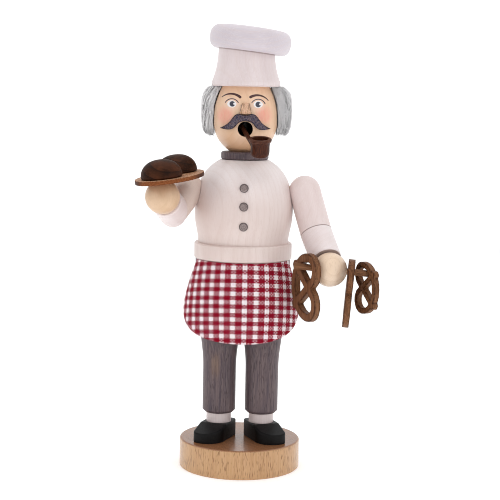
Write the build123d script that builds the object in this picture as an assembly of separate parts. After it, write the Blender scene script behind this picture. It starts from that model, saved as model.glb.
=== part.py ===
from build123d import *
import os
from math import atan2, cos, degrees, hypot, radians, sin, sqrt, tan

os.makedirs("parts", exist_ok=True)

# A turned wooden smoking figure of a baker. All lengths are millimetres.
# The middle of the base's underside is the origin, Z is up and the face looks towards -Y.

# Fits and tools shared by the whole figure
glue_gap = 0.05
seat_gap = 0.12
lift_gap = 0.35
overrun = 6.0
leg_dowel_diameter = 6.0
arm_dowel_diameter = 5.0
wrist_dowel_diameter = 3.0

# Turned base
base_diameter = 60.0
base_height = 14.3
base_edge_radius = 0.9
base_foot_chamfer = 0.5
base_bore_depth = 10.0

# Feet and legs
leg_spacing = 21.2
shoe_width = 13.8
shoe_heel_reach = 8.0
shoe_toe_reach = 18.3
shoe_height = 8.2
shoe_toe_height = 4.9
shoe_toe_side_share = 0.56
shoe_toe_corner_share = 0.91
shoe_toe_bulge_shares = (0.34, 0.95)
shoe_vamp_start = 7.2
shoe_corner_radius = 2.6
shoe_edge_radius = 0.5
shoe_turn_out = 21.0
sock_diameter = 12.4
sock_height = 5.7
sock_recess_depth = 1.0
sock_edge_radius = 0.5
trouser_diameter = 16.4
trouser_top_diameter = 20.8
trouser_height = 44.8
trouser_straight_height = 22.5
trouser_hem_chamfer = 1.3
trouser_bore_depth = 15.0

# Hip block with the spigot that carries the upper body
hip_foot_diameter = 42.6
hip_diameter = 46.8
hip_height = 32.9
hip_foot_radius = 3.0
hip_side_slope = 0.12
spigot_height = 8.0
spigot_chamfer = 1.0
hip_bore_depth = 12.0
air_hole_diameter = 4.0
air_hole_offset = 14.0

# Ember plate and its tack
plate_diameter = 22.0
plate_thickness = 0.5
plate_rim_height = 1.2
tack_shank_diameter = 1.4
tack_length = 7.0
tack_head_diameter = 4.2
tack_head_height = 1.0

# Apron cloth
apron_thickness = 0.6
apron_flare = 5.2
apron_foot_flare = 6.6
apron_drop = 38.0
apron_middle_drop = 25.0
apron_top_half_angle = 69.0
apron_side_half_angle = 75.0
apron_corner_drop = 21.0
apron_hem_shares = [(0.985, 0.84), (0.93, 0.60), (0.80, 0.35), (0.50, 0.11), (0.25, 0.02)]

# Jacket shell
jacket_diameter = 48.5
jacket_body_height = 40.7
hem_diameter = 48.2
hem_height = 8.0
hem_edge = 0.6
chamber_diameter = 38.6
chamber_wall_height = 30.0
chamber_ceiling_wall = 7.0
chamber_ceiling_diameter = 20.0
collar_seat_diameter = 23.8
jacket_shares = [(0.922, 0.0), (0.928, 0.076), (0.969, 0.199), (0.996, 0.322), (1.0, 0.42),
                 (0.981, 0.543), (0.936, 0.666), (0.866, 0.776), (0.742, 0.884), (0.614, 0.953)]

# Buttons
button_diameter = 4.2
button_thickness = 1.7
button_seat_depth = 0.8
button_edge = 0.35
button_dish_diameter = 2.6
button_dish_depth = 0.3
button_height_shares = {"button_top": 0.69, "button_middle": 0.474, "button_bottom": 0.238}

# Collar ring and head
collar_diameter = 23.4
collar_height = 4.0
collar_edge_radius = 1.2
neck_diameter = 12.0
neck_length = 10.0
smoke_bore_diameter = 7.6
head_diameter = 31.0
head_height = 31.7
head_shares = [(0.477, 0.0), (0.70, 0.091), (0.848, 0.183), (0.948, 0.29), (1.0, 0.42), (0.998, 0.53),
               (0.961, 0.707), (0.877, 0.848), (0.748, 1.0)]
mouth_diameter = 7.3
mouth_height = 11.3
smoke_bore_overlap = 1.5

# Nose and moustache
nose_width = 6.0
nose_top_width = 3.6
nose_height = 5.0
nose_reach = 3.6
nose_top_reach = 1.0
nose_lift = 18.7
nose_edge = 0.5
moustache_width = 24.8
moustache_height = 8.0
moustache_lift = 11.0
moustache_thickness = 1.5
moustache_upper_shares = [(0.42, 0.20), (0.33, 0.40), (0.25, 0.71), (0.177, 0.925), (0.105, 0.95), (0.0, 0.87)]
moustache_lower_shares = [(0.085, 0.475), (0.145, 0.375), (0.185, 0.225), (0.25, 0.05), (0.33, 0.0), (0.42, 0.025)]
moustache_tip_share = 0.075

# Fur hair strip
hair_reach = 21.2
hair_top_reach = 18.0
hair_height = 22.6
hair_gap = 0.35
hair_foot_gather = 2.0
hair_bulge_shares = (0.2, 0.62)
hair_half_angle = 97.0

# Hat
band_foot_diameter = 33.6
band_brim_height = 2.8
band_brim_edge = 0.7
band_neck_diameter = 27.4
band_height = 17.6
band_shares = [(0.981, 0.16), (0.93, 0.30), (0.875, 0.50), (0.835, 0.75), (0.815, 1.0)]
band_tilt = 6.4
crown_diameter = 39.8
crown_height = 11.5
crown_seat_diameter = 30.2
crown_shift = 1.2
crown_side_shares = [(0.84, -0.05), (0.93, 0.04), (0.985, 0.22), (1.0, 0.43), (0.975, 0.70), (0.88, 0.89),
                     (0.70, 0.965), (0.35, 0.995)]
hat_dowel_diameter = 6.0
hat_dowel_length = 16.0
crown_dowel_length = 10.0

# Pipe: its places are steps from the middle of the mouth, right, back and up
stem_inner_step = (-2.85, 12.5, 2.8)
stem_outer_step = (3.3, -9.4, -6.5)
bowl_foot_step = (7.2, -9.6, -12.6)
stem_diameter = 2.2
bowl_lean = 12.0
bowl_height = 9.0
bowl_rim_diameter = 10.9
bowl_waist_diameter = 9.0
bowl_foot_diameter = 6.4
bowl_side_shares = [(1.0, 0.30), (1.02, 0.66)]
bowl_rim_share = 0.87
bowl_lip_edge = 0.4
bowl_bore_diameter = 7.8
bowl_bore_depth = 6.2
bowl_floor_edge = 1.2
stem_entry_depth = 0.9

# Arms
arm_diameter = 15.5
cuff_diameter = 14.9
cuff_edge_radius = 0.6
hand_diameter = 16.4
wrist_reach = 6.4
shoulder_dowel_wall = 1.1
shoulder_dowel_reach = 2.0
wrist_dowel_length = 7.6
shoulder_height_share = 0.6325
right_shoulder_stand = 4.84
right_shoulder_turn = 9.3
left_shoulder_stand = 6.98
left_shoulder_turn = 5.75
right_upper_arm = (-6.8, -11.0, -9.0)
right_lower_arm = (-4.0, -17.5, 7.5)
left_upper_arm = (5.9, -4.0, -20.0)
left_lower_arm = (5.9, -20.5, -15.3)

# Tray and loaves
tray_length = 43.6
tray_width = 30.0
tray_thickness = 2.1
tray_turn = 69.0
tray_rise = 6.8
tray_lean = 2.4
tray_shift = 4.4
tray_flat_depth = 0.6
loaf_diameter = 19.4
loaf_height = 8.7
loaf_edge = 0.7
loaf_shoulder_share = 0.73
loaf_offset_across = 3.1
loaf_offset_along = 9.4

# Rod and pretzels
rod_diameter = 3.1
rod_left_end = 6.1
rod_right_end = 2.7
rod_edge = 0.3
rod_fall = 4.5
rod_yaw = 4.3
pretzel_width = 32.6
pretzel_strand = 4.0
pretzel_thickness = 3.1
pretzel_knob_diameter = 5.0
small_pretzel_width = 24.9
small_pretzel_strand = 2.75
small_pretzel_thickness = 2.8
small_pretzel_knob_diameter = 3.8
loop_share = 0.434
loop_place_share = 0.56
crossing_share = 0.035
tail_share = 1.13
hang_gap = 0.4
small_hang_gap = 0.25
pretzel_turn = 24.0
left_pretzel_gap = 1.45
middle_pretzel_gap = 0.35
right_pretzel_gap = 4.8

parts = {}
BOTTOM = (Align.CENTER, Align.CENTER, Align.MIN)

# Heights of the seats, one piece on the next
base_top = base_height
shoe_top = base_top + shoe_height
trouser_foot = shoe_top - sock_recess_depth + sock_height
hip_foot = trouser_foot + trouser_height
hem_foot = hip_foot + hip_height
spigot_top = hem_foot + spigot_height
hem_top = hem_foot + hem_height
jacket_top = hem_top + jacket_body_height
head_foot = jacket_top + collar_height
head_top = head_foot + head_height
leg_place = leg_spacing / 2
mouth_centre_height = head_foot + mouth_height

# Places of the pretzels along the rod, from the middle of the hand
left_pretzel_place = -(hand_diameter + pretzel_thickness) / 2 - left_pretzel_gap
middle_pretzel_place = (hand_diameter + pretzel_thickness) / 2 + middle_pretzel_gap
right_pretzel_place = (middle_pretzel_place + (pretzel_thickness + small_pretzel_thickness) / 2
                       + right_pretzel_gap)


def turned(edges):
    """A piece off the lathe: a closed half profile of radius and height, spun about the upright axis."""
    return revolve(Plane.XZ * make_face(edges), Axis.Z)


def rod_between(start, end, radius):
    """A round peg or drill path from one point to another."""
    way = Vector(*end) - Vector(*start)
    return Plane(origin=start, z_dir=way) * Cylinder(radius, way.length, align=BOTTOM)


def upright(radius, foot, top, x=0.0, y=0.0):
    """An upright peg or drill path."""
    return Pos(x, y, foot) * Cylinder(radius, top - foot, align=BOTTOM)


def along(start, end, distance):
    """The point at a distance from start on the line to end; it may lie before or beyond them."""
    way = (Vector(*end) - Vector(*start)).normalized()
    return Vector(*start) + way * distance


def scaled_points(shares, across, up, floor=0.0):
    return [(across * share_across, floor + up * share_up) for share_across, share_up in shares]


def radius_at(side, height):
    """The radius of a turned side at a height, read off its points."""
    for (low_radius, low), (high_radius, high) in zip(side, side[1:]):
        if low <= height <= high:
            share = (height - low) / (high - low)
            return low_radius + share * (high_radius - low_radius)
    return side[-1][0]


# Turned base with a blind bore under each foot
def make_base():
    disc = Cylinder(base_diameter / 2, base_height, align=BOTTOM)
    disc = fillet(disc.edges().group_by(Axis.Z)[-1], base_edge_radius)
    disc = chamfer(disc.edges().group_by(Axis.Z)[0], base_foot_chamfer)
    for side in (-1, 1):
        disc -= upright(leg_dowel_diameter / 2 + glue_gap, base_top - base_bore_depth, base_top + overrun,
                        side * leg_place)
    return disc


# Shoe block: a rounded toe, a square heel, a vamp that falls to the toe and a ring recess for the sock
def make_shoe(side):
    half = shoe_width / 2
    toe_side = shoe_toe_reach * shoe_toe_side_share
    toe_corner = shoe_toe_reach * shoe_toe_corner_share
    toe_bulge = (-half * shoe_toe_bulge_shares[0], -shoe_toe_reach * shoe_toe_bulge_shares[1])
    outline = Curve() + [
        Line((half, shoe_heel_reach), (-half, shoe_heel_reach)),
        Line((-half, shoe_heel_reach), (-half, -toe_side)),
        ThreePointArc((-half, -toe_side), toe_bulge, (half, -toe_corner)),
        Line((half, -toe_corner), (half, shoe_heel_reach)),
    ]
    shoe = extrude(make_face(outline), shoe_height)
    corners = shoe.edges().filter_by(Axis.Z)
    shoe = fillet([edge for edge in corners if abs(edge.center().Y + toe_side) > shoe_corner_radius],
                  shoe_corner_radius)
    far = shoe_toe_reach + overrun
    slope = (shoe_height - shoe_toe_height) / (shoe_toe_reach - shoe_vamp_start)
    wedge = Polyline((-shoe_vamp_start, shoe_height), (-far, shoe_height - slope * (far - shoe_vamp_start)),
                     (-far, shoe_height + overrun), (-shoe_vamp_start, shoe_height + overrun), close=True)
    shoe -= extrude(Plane.YZ * make_face(wedge), shoe_width, both=True)
    shoe = fillet([edge for edge in shoe.edges() if edge.center().Z > shoe_toe_height - shoe_edge_radius
                   and abs(edge.tangent_at(0.5).Z) < 0.9], shoe_edge_radius)
    shoe = Pos(leg_place, 0, base_top) * (Rot(0, 0, shoe_turn_out) * shoe)
    shoe -= upright(leg_dowel_diameter / 2 + glue_gap, base_top - overrun, shoe_top + overrun, leg_place)
    shoe -= upright(sock_diameter / 2 + seat_gap, shoe_top - sock_recess_depth, shoe_top + overrun, leg_place)
    return shoe if side > 0 else shoe.mirror(Plane.YZ)


# Sock: a white ring between shoe and trouser leg
def make_sock(side):
    foot = shoe_top - sock_recess_depth
    sock = upright(sock_diameter / 2, foot, trouser_foot, side * leg_place)
    sock = fillet(sock.edges().filter_by(GeomType.CIRCLE).group_by(Axis.Z)[0], sock_edge_radius)
    return sock - upright(leg_dowel_diameter / 2 + glue_gap, foot - overrun, trouser_foot + overrun,
                          side * leg_place)


# Trouser leg: straight, with a chamfered hem below and a flare under the hip block
def make_trouser(side):
    radius = trouser_diameter / 2
    top_radius = trouser_top_diameter / 2
    flare = top_radius - radius
    rise = trouser_height - trouser_straight_height
    profile = Curve() + [
        Polyline((0, trouser_height), (0, 0), (radius - trouser_hem_chamfer, 0), (radius, trouser_hem_chamfer),
                 (radius, trouser_straight_height)),
        Spline((radius, trouser_straight_height), (top_radius, trouser_height), tangents=[(0, 1), (flare, rise)]),
        Line((top_radius, trouser_height), (0, trouser_height)),
    ]
    leg = Pos(side * leg_place, 0, trouser_foot) * turned(profile)
    bore = leg_dowel_diameter / 2 + glue_gap
    leg -= upright(bore, trouser_foot - overrun, trouser_foot + trouser_bore_depth, side * leg_place)
    leg -= upright(bore, hip_foot - hip_bore_depth, hip_foot + overrun, side * leg_place)
    return leg


def make_leg_dowel(side):
    return upright(leg_dowel_diameter / 2, base_top - base_bore_depth, trouser_foot + trouser_bore_depth,
                   side * leg_place)


def make_hip_dowel(side):
    return upright(leg_dowel_diameter / 2, hip_foot - hip_bore_depth, hip_foot + hip_bore_depth, side * leg_place)


# Hip block: a turned seat of the trousers, a ledge for the jacket's hem and the spigot inside it
spigot_radius = chamber_diameter / 2 - lift_gap


def make_hip_block():
    foot = hip_foot_diameter / 2
    radius = hip_diameter / 2
    profile = Curve() + [
        Polyline((radius, hem_foot), (spigot_radius, hem_foot), (spigot_radius, spigot_top - spigot_chamfer),
                 (spigot_radius - spigot_chamfer, spigot_top), (0, spigot_top), (0, hip_foot),
                 (foot - hip_foot_radius, hip_foot)),
        RadiusArc((foot - hip_foot_radius, hip_foot), (foot, hip_foot + hip_foot_radius), -hip_foot_radius),
        Spline((foot, hip_foot + hip_foot_radius), (radius, hem_foot), tangents=[(hip_side_slope, 1), (0, 1)]),
    ]
    block = turned(profile)
    for side in (-1, 1):
        block -= upright(leg_dowel_diameter / 2 + glue_gap, hip_foot - overrun, hip_foot + hip_bore_depth,
                         side * leg_place)
        block -= upright(air_hole_diameter / 2, hip_foot - overrun, spigot_top + overrun, 0,
                         side * air_hole_offset)
    return block - upright(tack_shank_diameter / 2 + glue_gap, spigot_top - tack_length, spigot_top + overrun)


# Ember plate: a pressed disc with an upturned rim, and the tack that holds it
def make_ember_plate():
    radius = plate_diameter / 2
    hole = tack_shank_diameter / 2 + glue_gap
    floor = spigot_top + plate_thickness
    rim = spigot_top + plate_rim_height
    profile = Polyline((hole, spigot_top), (radius, spigot_top), (radius, rim), (radius - plate_thickness, rim),
                       (radius - plate_thickness, floor), (hole, floor), close=True)
    return turned(profile)


def make_plate_tack():
    seat = spigot_top + plate_thickness
    tip = spigot_top - tack_length
    shank = tack_shank_diameter / 2
    head = tack_head_diameter / 2
    profile = Curve() + [
        Polyline((0, seat + tack_head_height), (0, tip), (shank, tip + shank), (shank, seat), (head, seat)),
        Spline((head, seat), (0, seat + tack_head_height), tangents=[(0, 1), (-1, 0)]),
    ]
    return turned(profile)


# Apron: one flared sheet, cut with slanting sides and rounded lower corners
def make_apron():
    waist = hip_diameter / 2 + glue_gap
    middle = hem_foot - apron_middle_drop
    foot = hem_foot - apron_drop
    inner_line = [(waist, hem_foot), (waist + apron_flare, middle), (waist + apron_foot_flare, foot)]
    inner = Spline(inner_line)
    outer = Spline([(radius + apron_thickness, height) for radius, height in inner_line])
    ends = [Line(outer @ 0, inner @ 0), Line(outer @ 1, inner @ 1)]
    sheet = revolve(Plane.XZ * make_face(Curve() + [outer, inner] + ends), Axis.Z)
    corner = hem_foot - apron_corner_drop
    wide = (waist + apron_flare) * sin(radians(apron_side_half_angle))
    narrow = waist * sin(radians(apron_top_half_angle))
    hem = scaled_points(apron_hem_shares, wide, corner - foot, foot)
    outline = Curve() + [
        Polyline((-wide, corner), (-narrow, hem_foot), (-narrow, hem_foot + overrun), (narrow, hem_foot + overrun),
                 (narrow, hem_foot), (wide, corner)),
        Spline([(wide, corner)] + hem + [(0, foot)] + [(-x, z) for x, z in hem[::-1]] + [(-wide, corner)]),
    ]
    front = extrude(Plane.XZ * make_face(outline), waist + apron_foot_flare + overrun)
    return sheet & front


# Jacket: the hollow turned upper body, with its hem, smoke chamber and neck bore
def jacket_outline(gap=0.0):
    """Edges of the jacket's side above the hem, moved out by a gap."""
    points = scaled_points(jacket_shares, jacket_diameter / 2, jacket_body_height, hem_top)
    points.append((collar_seat_diameter / 2, jacket_top))
    return [(radius + gap, height) for radius, height in points]


def make_jacket():
    hem = hem_diameter / 2
    chamber = chamber_diameter / 2
    side = jacket_outline()
    ceiling = jacket_top - chamber_ceiling_wall
    neck = neck_diameter / 2 + glue_gap
    shoulder = (chamber, hem_foot + chamber_wall_height)
    profile = Curve() + [
        Polyline(shoulder, (chamber, hem_foot), (hem - hem_edge, hem_foot), (hem, hem_foot + hem_edge),
                 (hem, hem_top - hem_edge), (hem - hem_edge, hem_top), side[0]),
        Spline(side),
        Polyline(side[-1], (neck, jacket_top), (neck, ceiling), (chamber_ceiling_diameter / 2, ceiling)),
        Spline((chamber_ceiling_diameter / 2, ceiling), shoulder, tangents=[(1, 0), (0, -1)]),
    ]
    jacket = turned(profile)
    for shoulder_centre in (right_shoulder, left_shoulder):
        jacket -= shoulder_dowel(shoulder_centre, glue_gap)
    for name in button_height_shares:
        jacket -= button_place(name) * Cylinder(button_diameter / 2 + glue_gap, button_thickness + overrun,
                                                align=BOTTOM)
    return jacket


# Buttons: small turned discs let into the jacket square to its side
def button_place(name):
    height = hem_top + jacket_body_height * button_height_shares[name]
    side = jacket_outline()
    step = button_diameter / 2
    slope = (radius_at(side, height + step) - radius_at(side, height - step)) / button_diameter
    square_out = Vector(0, -1, -slope).normalized()
    face = Vector(0, -radius_at(side, height), height)
    return Plane(origin=face - square_out * button_seat_depth, z_dir=square_out)


def make_button(name):
    radius = button_diameter / 2
    profile = Polyline((0, 0), (radius, 0), (radius, button_thickness - button_edge),
                       (radius - button_edge, button_thickness), (button_dish_diameter / 2, button_thickness),
                       (button_dish_diameter / 2 - button_dish_depth, button_thickness - button_dish_depth),
                       (0, button_thickness - button_dish_depth), close=True)
    return button_place(name) * turned(profile)


# Collar: a turned ring on the head's neck
def make_collar():
    ring = upright(collar_diameter / 2, jacket_top, head_foot)
    ring = fillet(ring.edges().filter_by(GeomType.CIRCLE), collar_edge_radius)
    return ring - upright(neck_diameter / 2 + glue_gap, jacket_top - overrun, head_foot + overrun)


# Head: an egg-shaped turning with its neck, the smoke bore from below and the open mouth
def head_outline():
    return scaled_points(head_shares, head_diameter / 2, head_height, head_foot)


def make_head():
    side = head_outline()
    neck = neck_diameter / 2
    neck_foot = head_foot - neck_length
    profile = Curve() + [
        Spline(side),
        Polyline(side[-1], (0, head_top), (0, neck_foot), (neck, neck_foot), (neck, head_foot), side[0]),
    ]
    head = turned(profile)
    bore_top = mouth_centre_height + mouth_diameter / 2 + smoke_bore_overlap
    head -= upright(smoke_bore_diameter / 2, neck_foot - overrun, bore_top)
    head -= rod_between((0, 0, mouth_centre_height), (0, -head_diameter, mouth_centre_height), mouth_diameter / 2)
    head -= rod_between(stem_start, stem_joint, stem_diameter / 2 + glue_gap)
    head -= upright(hat_dowel_diameter / 2 + glue_gap, head_top - hat_dowel_length / 2, head_top + overrun)
    return head


# Nose: a small wedge, narrow above and wide below, glued to the face
def make_nose():
    foot = head_foot + nose_lift
    top = foot + nose_height
    back = -head_diameter / 2 + nose_reach
    tip = -head_diameter / 2 - nose_reach
    bridge = -head_diameter / 2 - nose_top_reach + nose_edge
    side_view = Polyline((back, foot), (tip, foot), (bridge, top), (back, top), close=True)
    wedge = extrude(Plane.YZ * make_face(side_view), nose_width, both=True)
    front_view = Polyline((-nose_width / 2, foot), (nose_width / 2, foot), (nose_top_width / 2, top),
                          (-nose_top_width / 2, top), close=True)
    wedge &= extrude(Plane.XZ * make_face(front_view), head_diameter)
    ridge = [edge for edge in wedge.edges() if edge.center().Y < bridge + nose_edge]
    wedge = fillet(ridge, nose_edge)
    return wedge - turned_face(seat_gap)


def turned_face(gap):
    """The head's side as a solid, moved out by a gap, to shape what is glued to it."""
    side = [(radius + gap, height) for radius, height in head_outline()]
    closing = Polyline(side[-1], (0, head_top), (0, head_foot), side[0])
    return turned(Curve() + [Spline(side), closing])


# Moustache: a thin shaped strip bent round the face above the mouth
def make_moustache():
    floor = head_foot + moustache_lift
    upper = scaled_points(moustache_upper_shares, moustache_width, moustache_height, floor)
    lower = scaled_points(moustache_lower_shares, moustache_width, moustache_height, floor)
    tip = (moustache_width / 2, floor + moustache_height * moustache_tip_share)
    left = [(-x, z) for x, z in upper[:-1]]
    left_low = [(-x, z) for x, z in lower]
    outline = Curve() + [
        Spline([tip] + upper + left[::-1] + [(-tip[0], tip[1])]),
        Spline([tip] + lower[::-1] + left_low + [(-tip[0], tip[1])]),
    ]
    blank = extrude(Plane.XZ * make_face(outline), head_diameter)
    inner = head_diameter / 2 + seat_gap
    ring = upright(inner + moustache_thickness, head_foot, head_top) - upright(inner, head_foot, head_top)
    return blank & ring


# Fur hair: a soft strip from temple to temple round the back of the head, tucked under the hat
def make_hair():
    foot = head_top - hair_height
    side = [(radius + hair_gap, height) for radius, height in head_outline() if height > foot]
    low_radius = radius_at(head_outline(), foot) + hair_gap
    inner = Spline([(low_radius, foot)] + side[:-1] + [(side[-1][0], head_top - hair_gap)])
    top = head_top - hair_gap
    bulge = [(hair_reach, foot + hair_height * share) for share in hair_bulge_shares]
    outer = Spline([(low_radius + hair_foot_gather, foot)] + bulge + [(hair_top_reach, top)])
    ends = [Line(inner @ 0, outer @ 0), Line(inner @ 1, outer @ 1)]
    face = Plane.XZ * make_face(Curve() + [inner, outer] + ends)
    start = Rot(0, 0, 90 - hair_half_angle) * face
    return revolve(start, Axis.Z, 2 * hair_half_angle)


# Hat: a flared band cut at a slant on top, and a puffed crown pegged on the slanted face
crown_seat = Plane(origin=(0, 0, head_top + band_height), z_dir=(sin(radians(band_tilt)), 0, cos(radians(band_tilt))))


def make_hat_band():
    foot = band_foot_diameter / 2
    shoulder = scaled_points(band_shares, foot, band_height, head_top)
    neck = (shoulder[-1][0], head_top + band_height + overrun)
    brim = head_top + band_brim_height
    profile = Curve() + [
        Polyline(neck, (0, neck[1]), (0, head_top), (foot - band_brim_edge, head_top),
                 (foot, head_top + band_brim_edge), (foot, brim - band_brim_edge), shoulder[0]),
        Spline(shoulder),
        Line(shoulder[-1], neck),
    ]
    band = turned(profile)
    band = split(band, crown_seat, keep=Keep.BOTTOM)
    band -= upright(hat_dowel_diameter / 2 + glue_gap, head_top - overrun, head_top + hat_dowel_length / 2)
    bore = Cylinder(hat_dowel_diameter / 2 + glue_gap, crown_dowel_length, align=(Align.CENTER,) * 3)
    return band - crown_seat * bore


def make_hat_crown():
    radius = crown_diameter / 2
    side = scaled_points(crown_side_shares, radius, crown_height)
    seat = crown_seat_diameter / 2
    profile = Curve() + [
        Polyline((0, crown_height), (0, 0), (seat, 0)),
        Spline([(seat, 0)] + side + [(0, crown_height)]),
    ]
    bore = Cylinder(hat_dowel_diameter / 2 + glue_gap, crown_dowel_length, align=(Align.CENTER,) * 3)
    return crown_seat * (Pos(crown_shift, 0, 0) * turned(profile) - bore)


def make_hat_dowel():
    return upright(hat_dowel_diameter / 2, head_top - hat_dowel_length / 2, head_top + hat_dowel_length / 2)


def make_crown_dowel():
    return crown_seat * Cylinder(hat_dowel_diameter / 2, crown_dowel_length, align=(Align.CENTER,) * 3)


# Pipe: a bored bowl with a flared rim, and the stem from its side into the mouth
mouth_point = Vector(0, -head_diameter / 2, mouth_centre_height)
stem_start = mouth_point + Vector(*stem_inner_step)
stem_joint = mouth_point + Vector(*stem_outer_step)
stem_end = along(stem_joint, stem_start, -stem_entry_depth)
bowl_frame = Plane(origin=mouth_point + Vector(*bowl_foot_step),
                   z_dir=(0, -sin(radians(bowl_lean)), cos(radians(bowl_lean))))


def make_pipe_bowl():
    rim = bowl_rim_diameter / 2
    waist = bowl_waist_diameter / 2
    bore = bowl_bore_diameter / 2
    floor = bowl_height - bowl_bore_depth
    foot_edge = (bowl_foot_diameter / 2, 0)
    rim_edge = (rim, bowl_height * bowl_rim_share)
    side = scaled_points(bowl_side_shares, waist, bowl_height)
    profile = Curve() + [
        Line((0, 0), foot_edge),
        Spline([foot_edge] + side + [rim_edge], tangents=[(1, 0.35), (1, 0.9)]),
        Polyline(rim_edge, (rim, bowl_height - bowl_lip_edge), (rim - bowl_lip_edge, bowl_height),
                 (bore, bowl_height), (bore, floor + bowl_floor_edge), (bore - bowl_floor_edge, floor),
                 (0, floor), (0, 0)),
    ]
    bowl = bowl_frame * turned(profile)
    return bowl - rod_between(stem_start, stem_end, stem_diameter / 2 + glue_gap)


def make_pipe_stem():
    return rod_between(stem_start, stem_end, stem_diameter / 2)


# Arms: a turned sleeve sawn at the elbow, mitred and glued at an angle, with a ball for a hand
def shoulder_point(side, turn, stand):
    """The middle of a shoulder: it stands off the jacket's side, turned a little to the front."""
    height = hem_top + jacket_body_height * shoulder_height_share
    reach = radius_at(jacket_outline(), height) + stand
    return Vector(side * reach * cos(radians(turn)), -reach * sin(radians(turn)), height)


right_shoulder = shoulder_point(-1, right_shoulder_turn, right_shoulder_stand)
right_elbow = right_shoulder + Vector(*right_upper_arm)
right_hand_centre = right_elbow + Vector(*right_lower_arm)
left_shoulder = shoulder_point(1, left_shoulder_turn, left_shoulder_stand)
left_elbow = left_shoulder + Vector(*left_upper_arm)
left_hand_centre = left_elbow + Vector(*left_lower_arm)


def shoulder_dowel(centre, gap):
    middle = Vector(0, 0, centre.Z)
    start = along(middle, centre, chamber_diameter / 2 + shoulder_dowel_wall)
    reach = (centre - middle).length + shoulder_dowel_reach
    return rod_between(start, along(middle, centre, reach), arm_dowel_diameter / 2 + gap)


def elbow_mitre(shoulder, elbow, hand):
    upper_way = (elbow - shoulder).normalized()
    lower_way = (hand - elbow).normalized()
    return Plane(origin=elbow, z_dir=upper_way + lower_way)


def make_upper_sleeve(shoulder, elbow, hand):
    radius = arm_diameter / 2
    far = along(shoulder, elbow, (elbow - shoulder).length + arm_diameter)
    sleeve = Pos(*shoulder) * Sphere(radius) + rod_between(shoulder, far, radius)
    sleeve = split(sleeve, elbow_mitre(shoulder, elbow, hand), keep=Keep.BOTTOM)
    sleeve -= jacket_side_solid()
    return sleeve - shoulder_dowel(shoulder, glue_gap)


def jacket_side_solid():
    side = jacket_outline(seat_gap)
    closing = Polyline(side[-1], (0, jacket_top), (0, hem_top), side[0])
    return turned(Curve() + [Spline(side), closing])


def wrist_point(elbow, hand):
    return along(hand, elbow, wrist_reach)


def make_forearm(shoulder, elbow, hand):
    wrist = wrist_point(elbow, hand)
    start = along(elbow, hand, -arm_diameter)
    length = (wrist - start).length
    cone = Cone(arm_diameter / 2, cuff_diameter / 2, length - arm_diameter, align=BOTTOM)
    straight = Cylinder(arm_diameter / 2, arm_diameter, align=BOTTOM)
    sleeve = Plane(origin=start, z_dir=hand - elbow) * (straight + Pos(0, 0, arm_diameter) * cone)
    rim = sleeve.edges().filter_by(GeomType.CIRCLE).sort_by_distance(wrist)[0]
    sleeve = fillet(rim, cuff_edge_radius)
    sleeve = split(sleeve, elbow_mitre(shoulder, elbow, hand), keep=Keep.TOP)
    return sleeve - wrist_dowel(elbow, hand, glue_gap)


def wrist_dowel(elbow, hand, gap):
    wrist = wrist_point(elbow, hand)
    half = wrist_dowel_length / 2
    return rod_between(along(wrist, hand, -half), along(wrist, hand, half), wrist_dowel_diameter / 2 + gap)


def make_hand(elbow, hand):
    ball = Pos(*hand) * Sphere(hand_diameter / 2)
    cut = Plane(origin=wrist_point(elbow, hand), z_dir=hand - elbow)
    return split(ball, cut, keep=Keep.TOP) - wrist_dowel(elbow, hand, glue_gap)


# Tray on the right hand, with two loaves
tray_up = Vector(-sin(radians(tray_rise)), -sin(radians(tray_lean)), 1).normalized()
tray_frame = Plane(origin=right_hand_centre + tray_up * (hand_diameter / 2 - tray_flat_depth),
                   x_dir=(1, 0, tan(radians(tray_rise))), z_dir=tray_up)


def make_right_hand():
    ball = make_hand(right_elbow, right_hand_centre)
    return split(ball, tray_frame, keep=Keep.BOTTOM)


def make_tray():
    board = extrude(Rot(0, 0, tray_turn) * Ellipse(tray_length / 2, tray_width / 2), tray_thickness)
    return tray_frame * (Pos(tray_shift, 0, 0) * board)


def make_loaf(end):
    radius = loaf_diameter / 2
    dome = loaf_height - loaf_edge
    profile = Curve() + [
        Polyline((0, loaf_height), (0, 0), (radius - loaf_edge, 0), (radius, loaf_edge)),
        Spline((radius, loaf_edge), (radius * loaf_shoulder_share, loaf_edge + dome * loaf_shoulder_share),
               (0, loaf_height), tangents=[(0, 1), (-1, 0)]),
    ]
    place = Pos(tray_shift + end * loaf_offset_across, end * loaf_offset_along, tray_thickness)
    return tray_frame * (place * turned(profile))


# Rod through the left hand: it falls a little to its outer end
rod_way = Vector(cos(radians(rod_yaw)) * cos(radians(rod_fall)), -sin(radians(rod_yaw)) * cos(radians(rod_fall)),
                 -sin(radians(rod_fall)))
rod_frame = Plane(origin=left_hand_centre, x_dir=rod_way.cross(Vector(0, 0, 1)), z_dir=rod_way)


def rod_point(place):
    return left_hand_centre + rod_way * place


def make_rod():
    start = rod_point(left_pretzel_place - rod_left_end)
    end = rod_point(right_pretzel_place + rod_right_end)
    rod = rod_between(start, end, rod_diameter / 2)
    return chamfer(rod.edges().filter_by(GeomType.CIRCLE), rod_edge)


def make_left_hand():
    ball = make_hand(left_elbow, left_hand_centre)
    return ball - rod_between(rod_point(-hand_diameter), rod_point(hand_diameter), rod_diameter / 2 + glue_gap)


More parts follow.
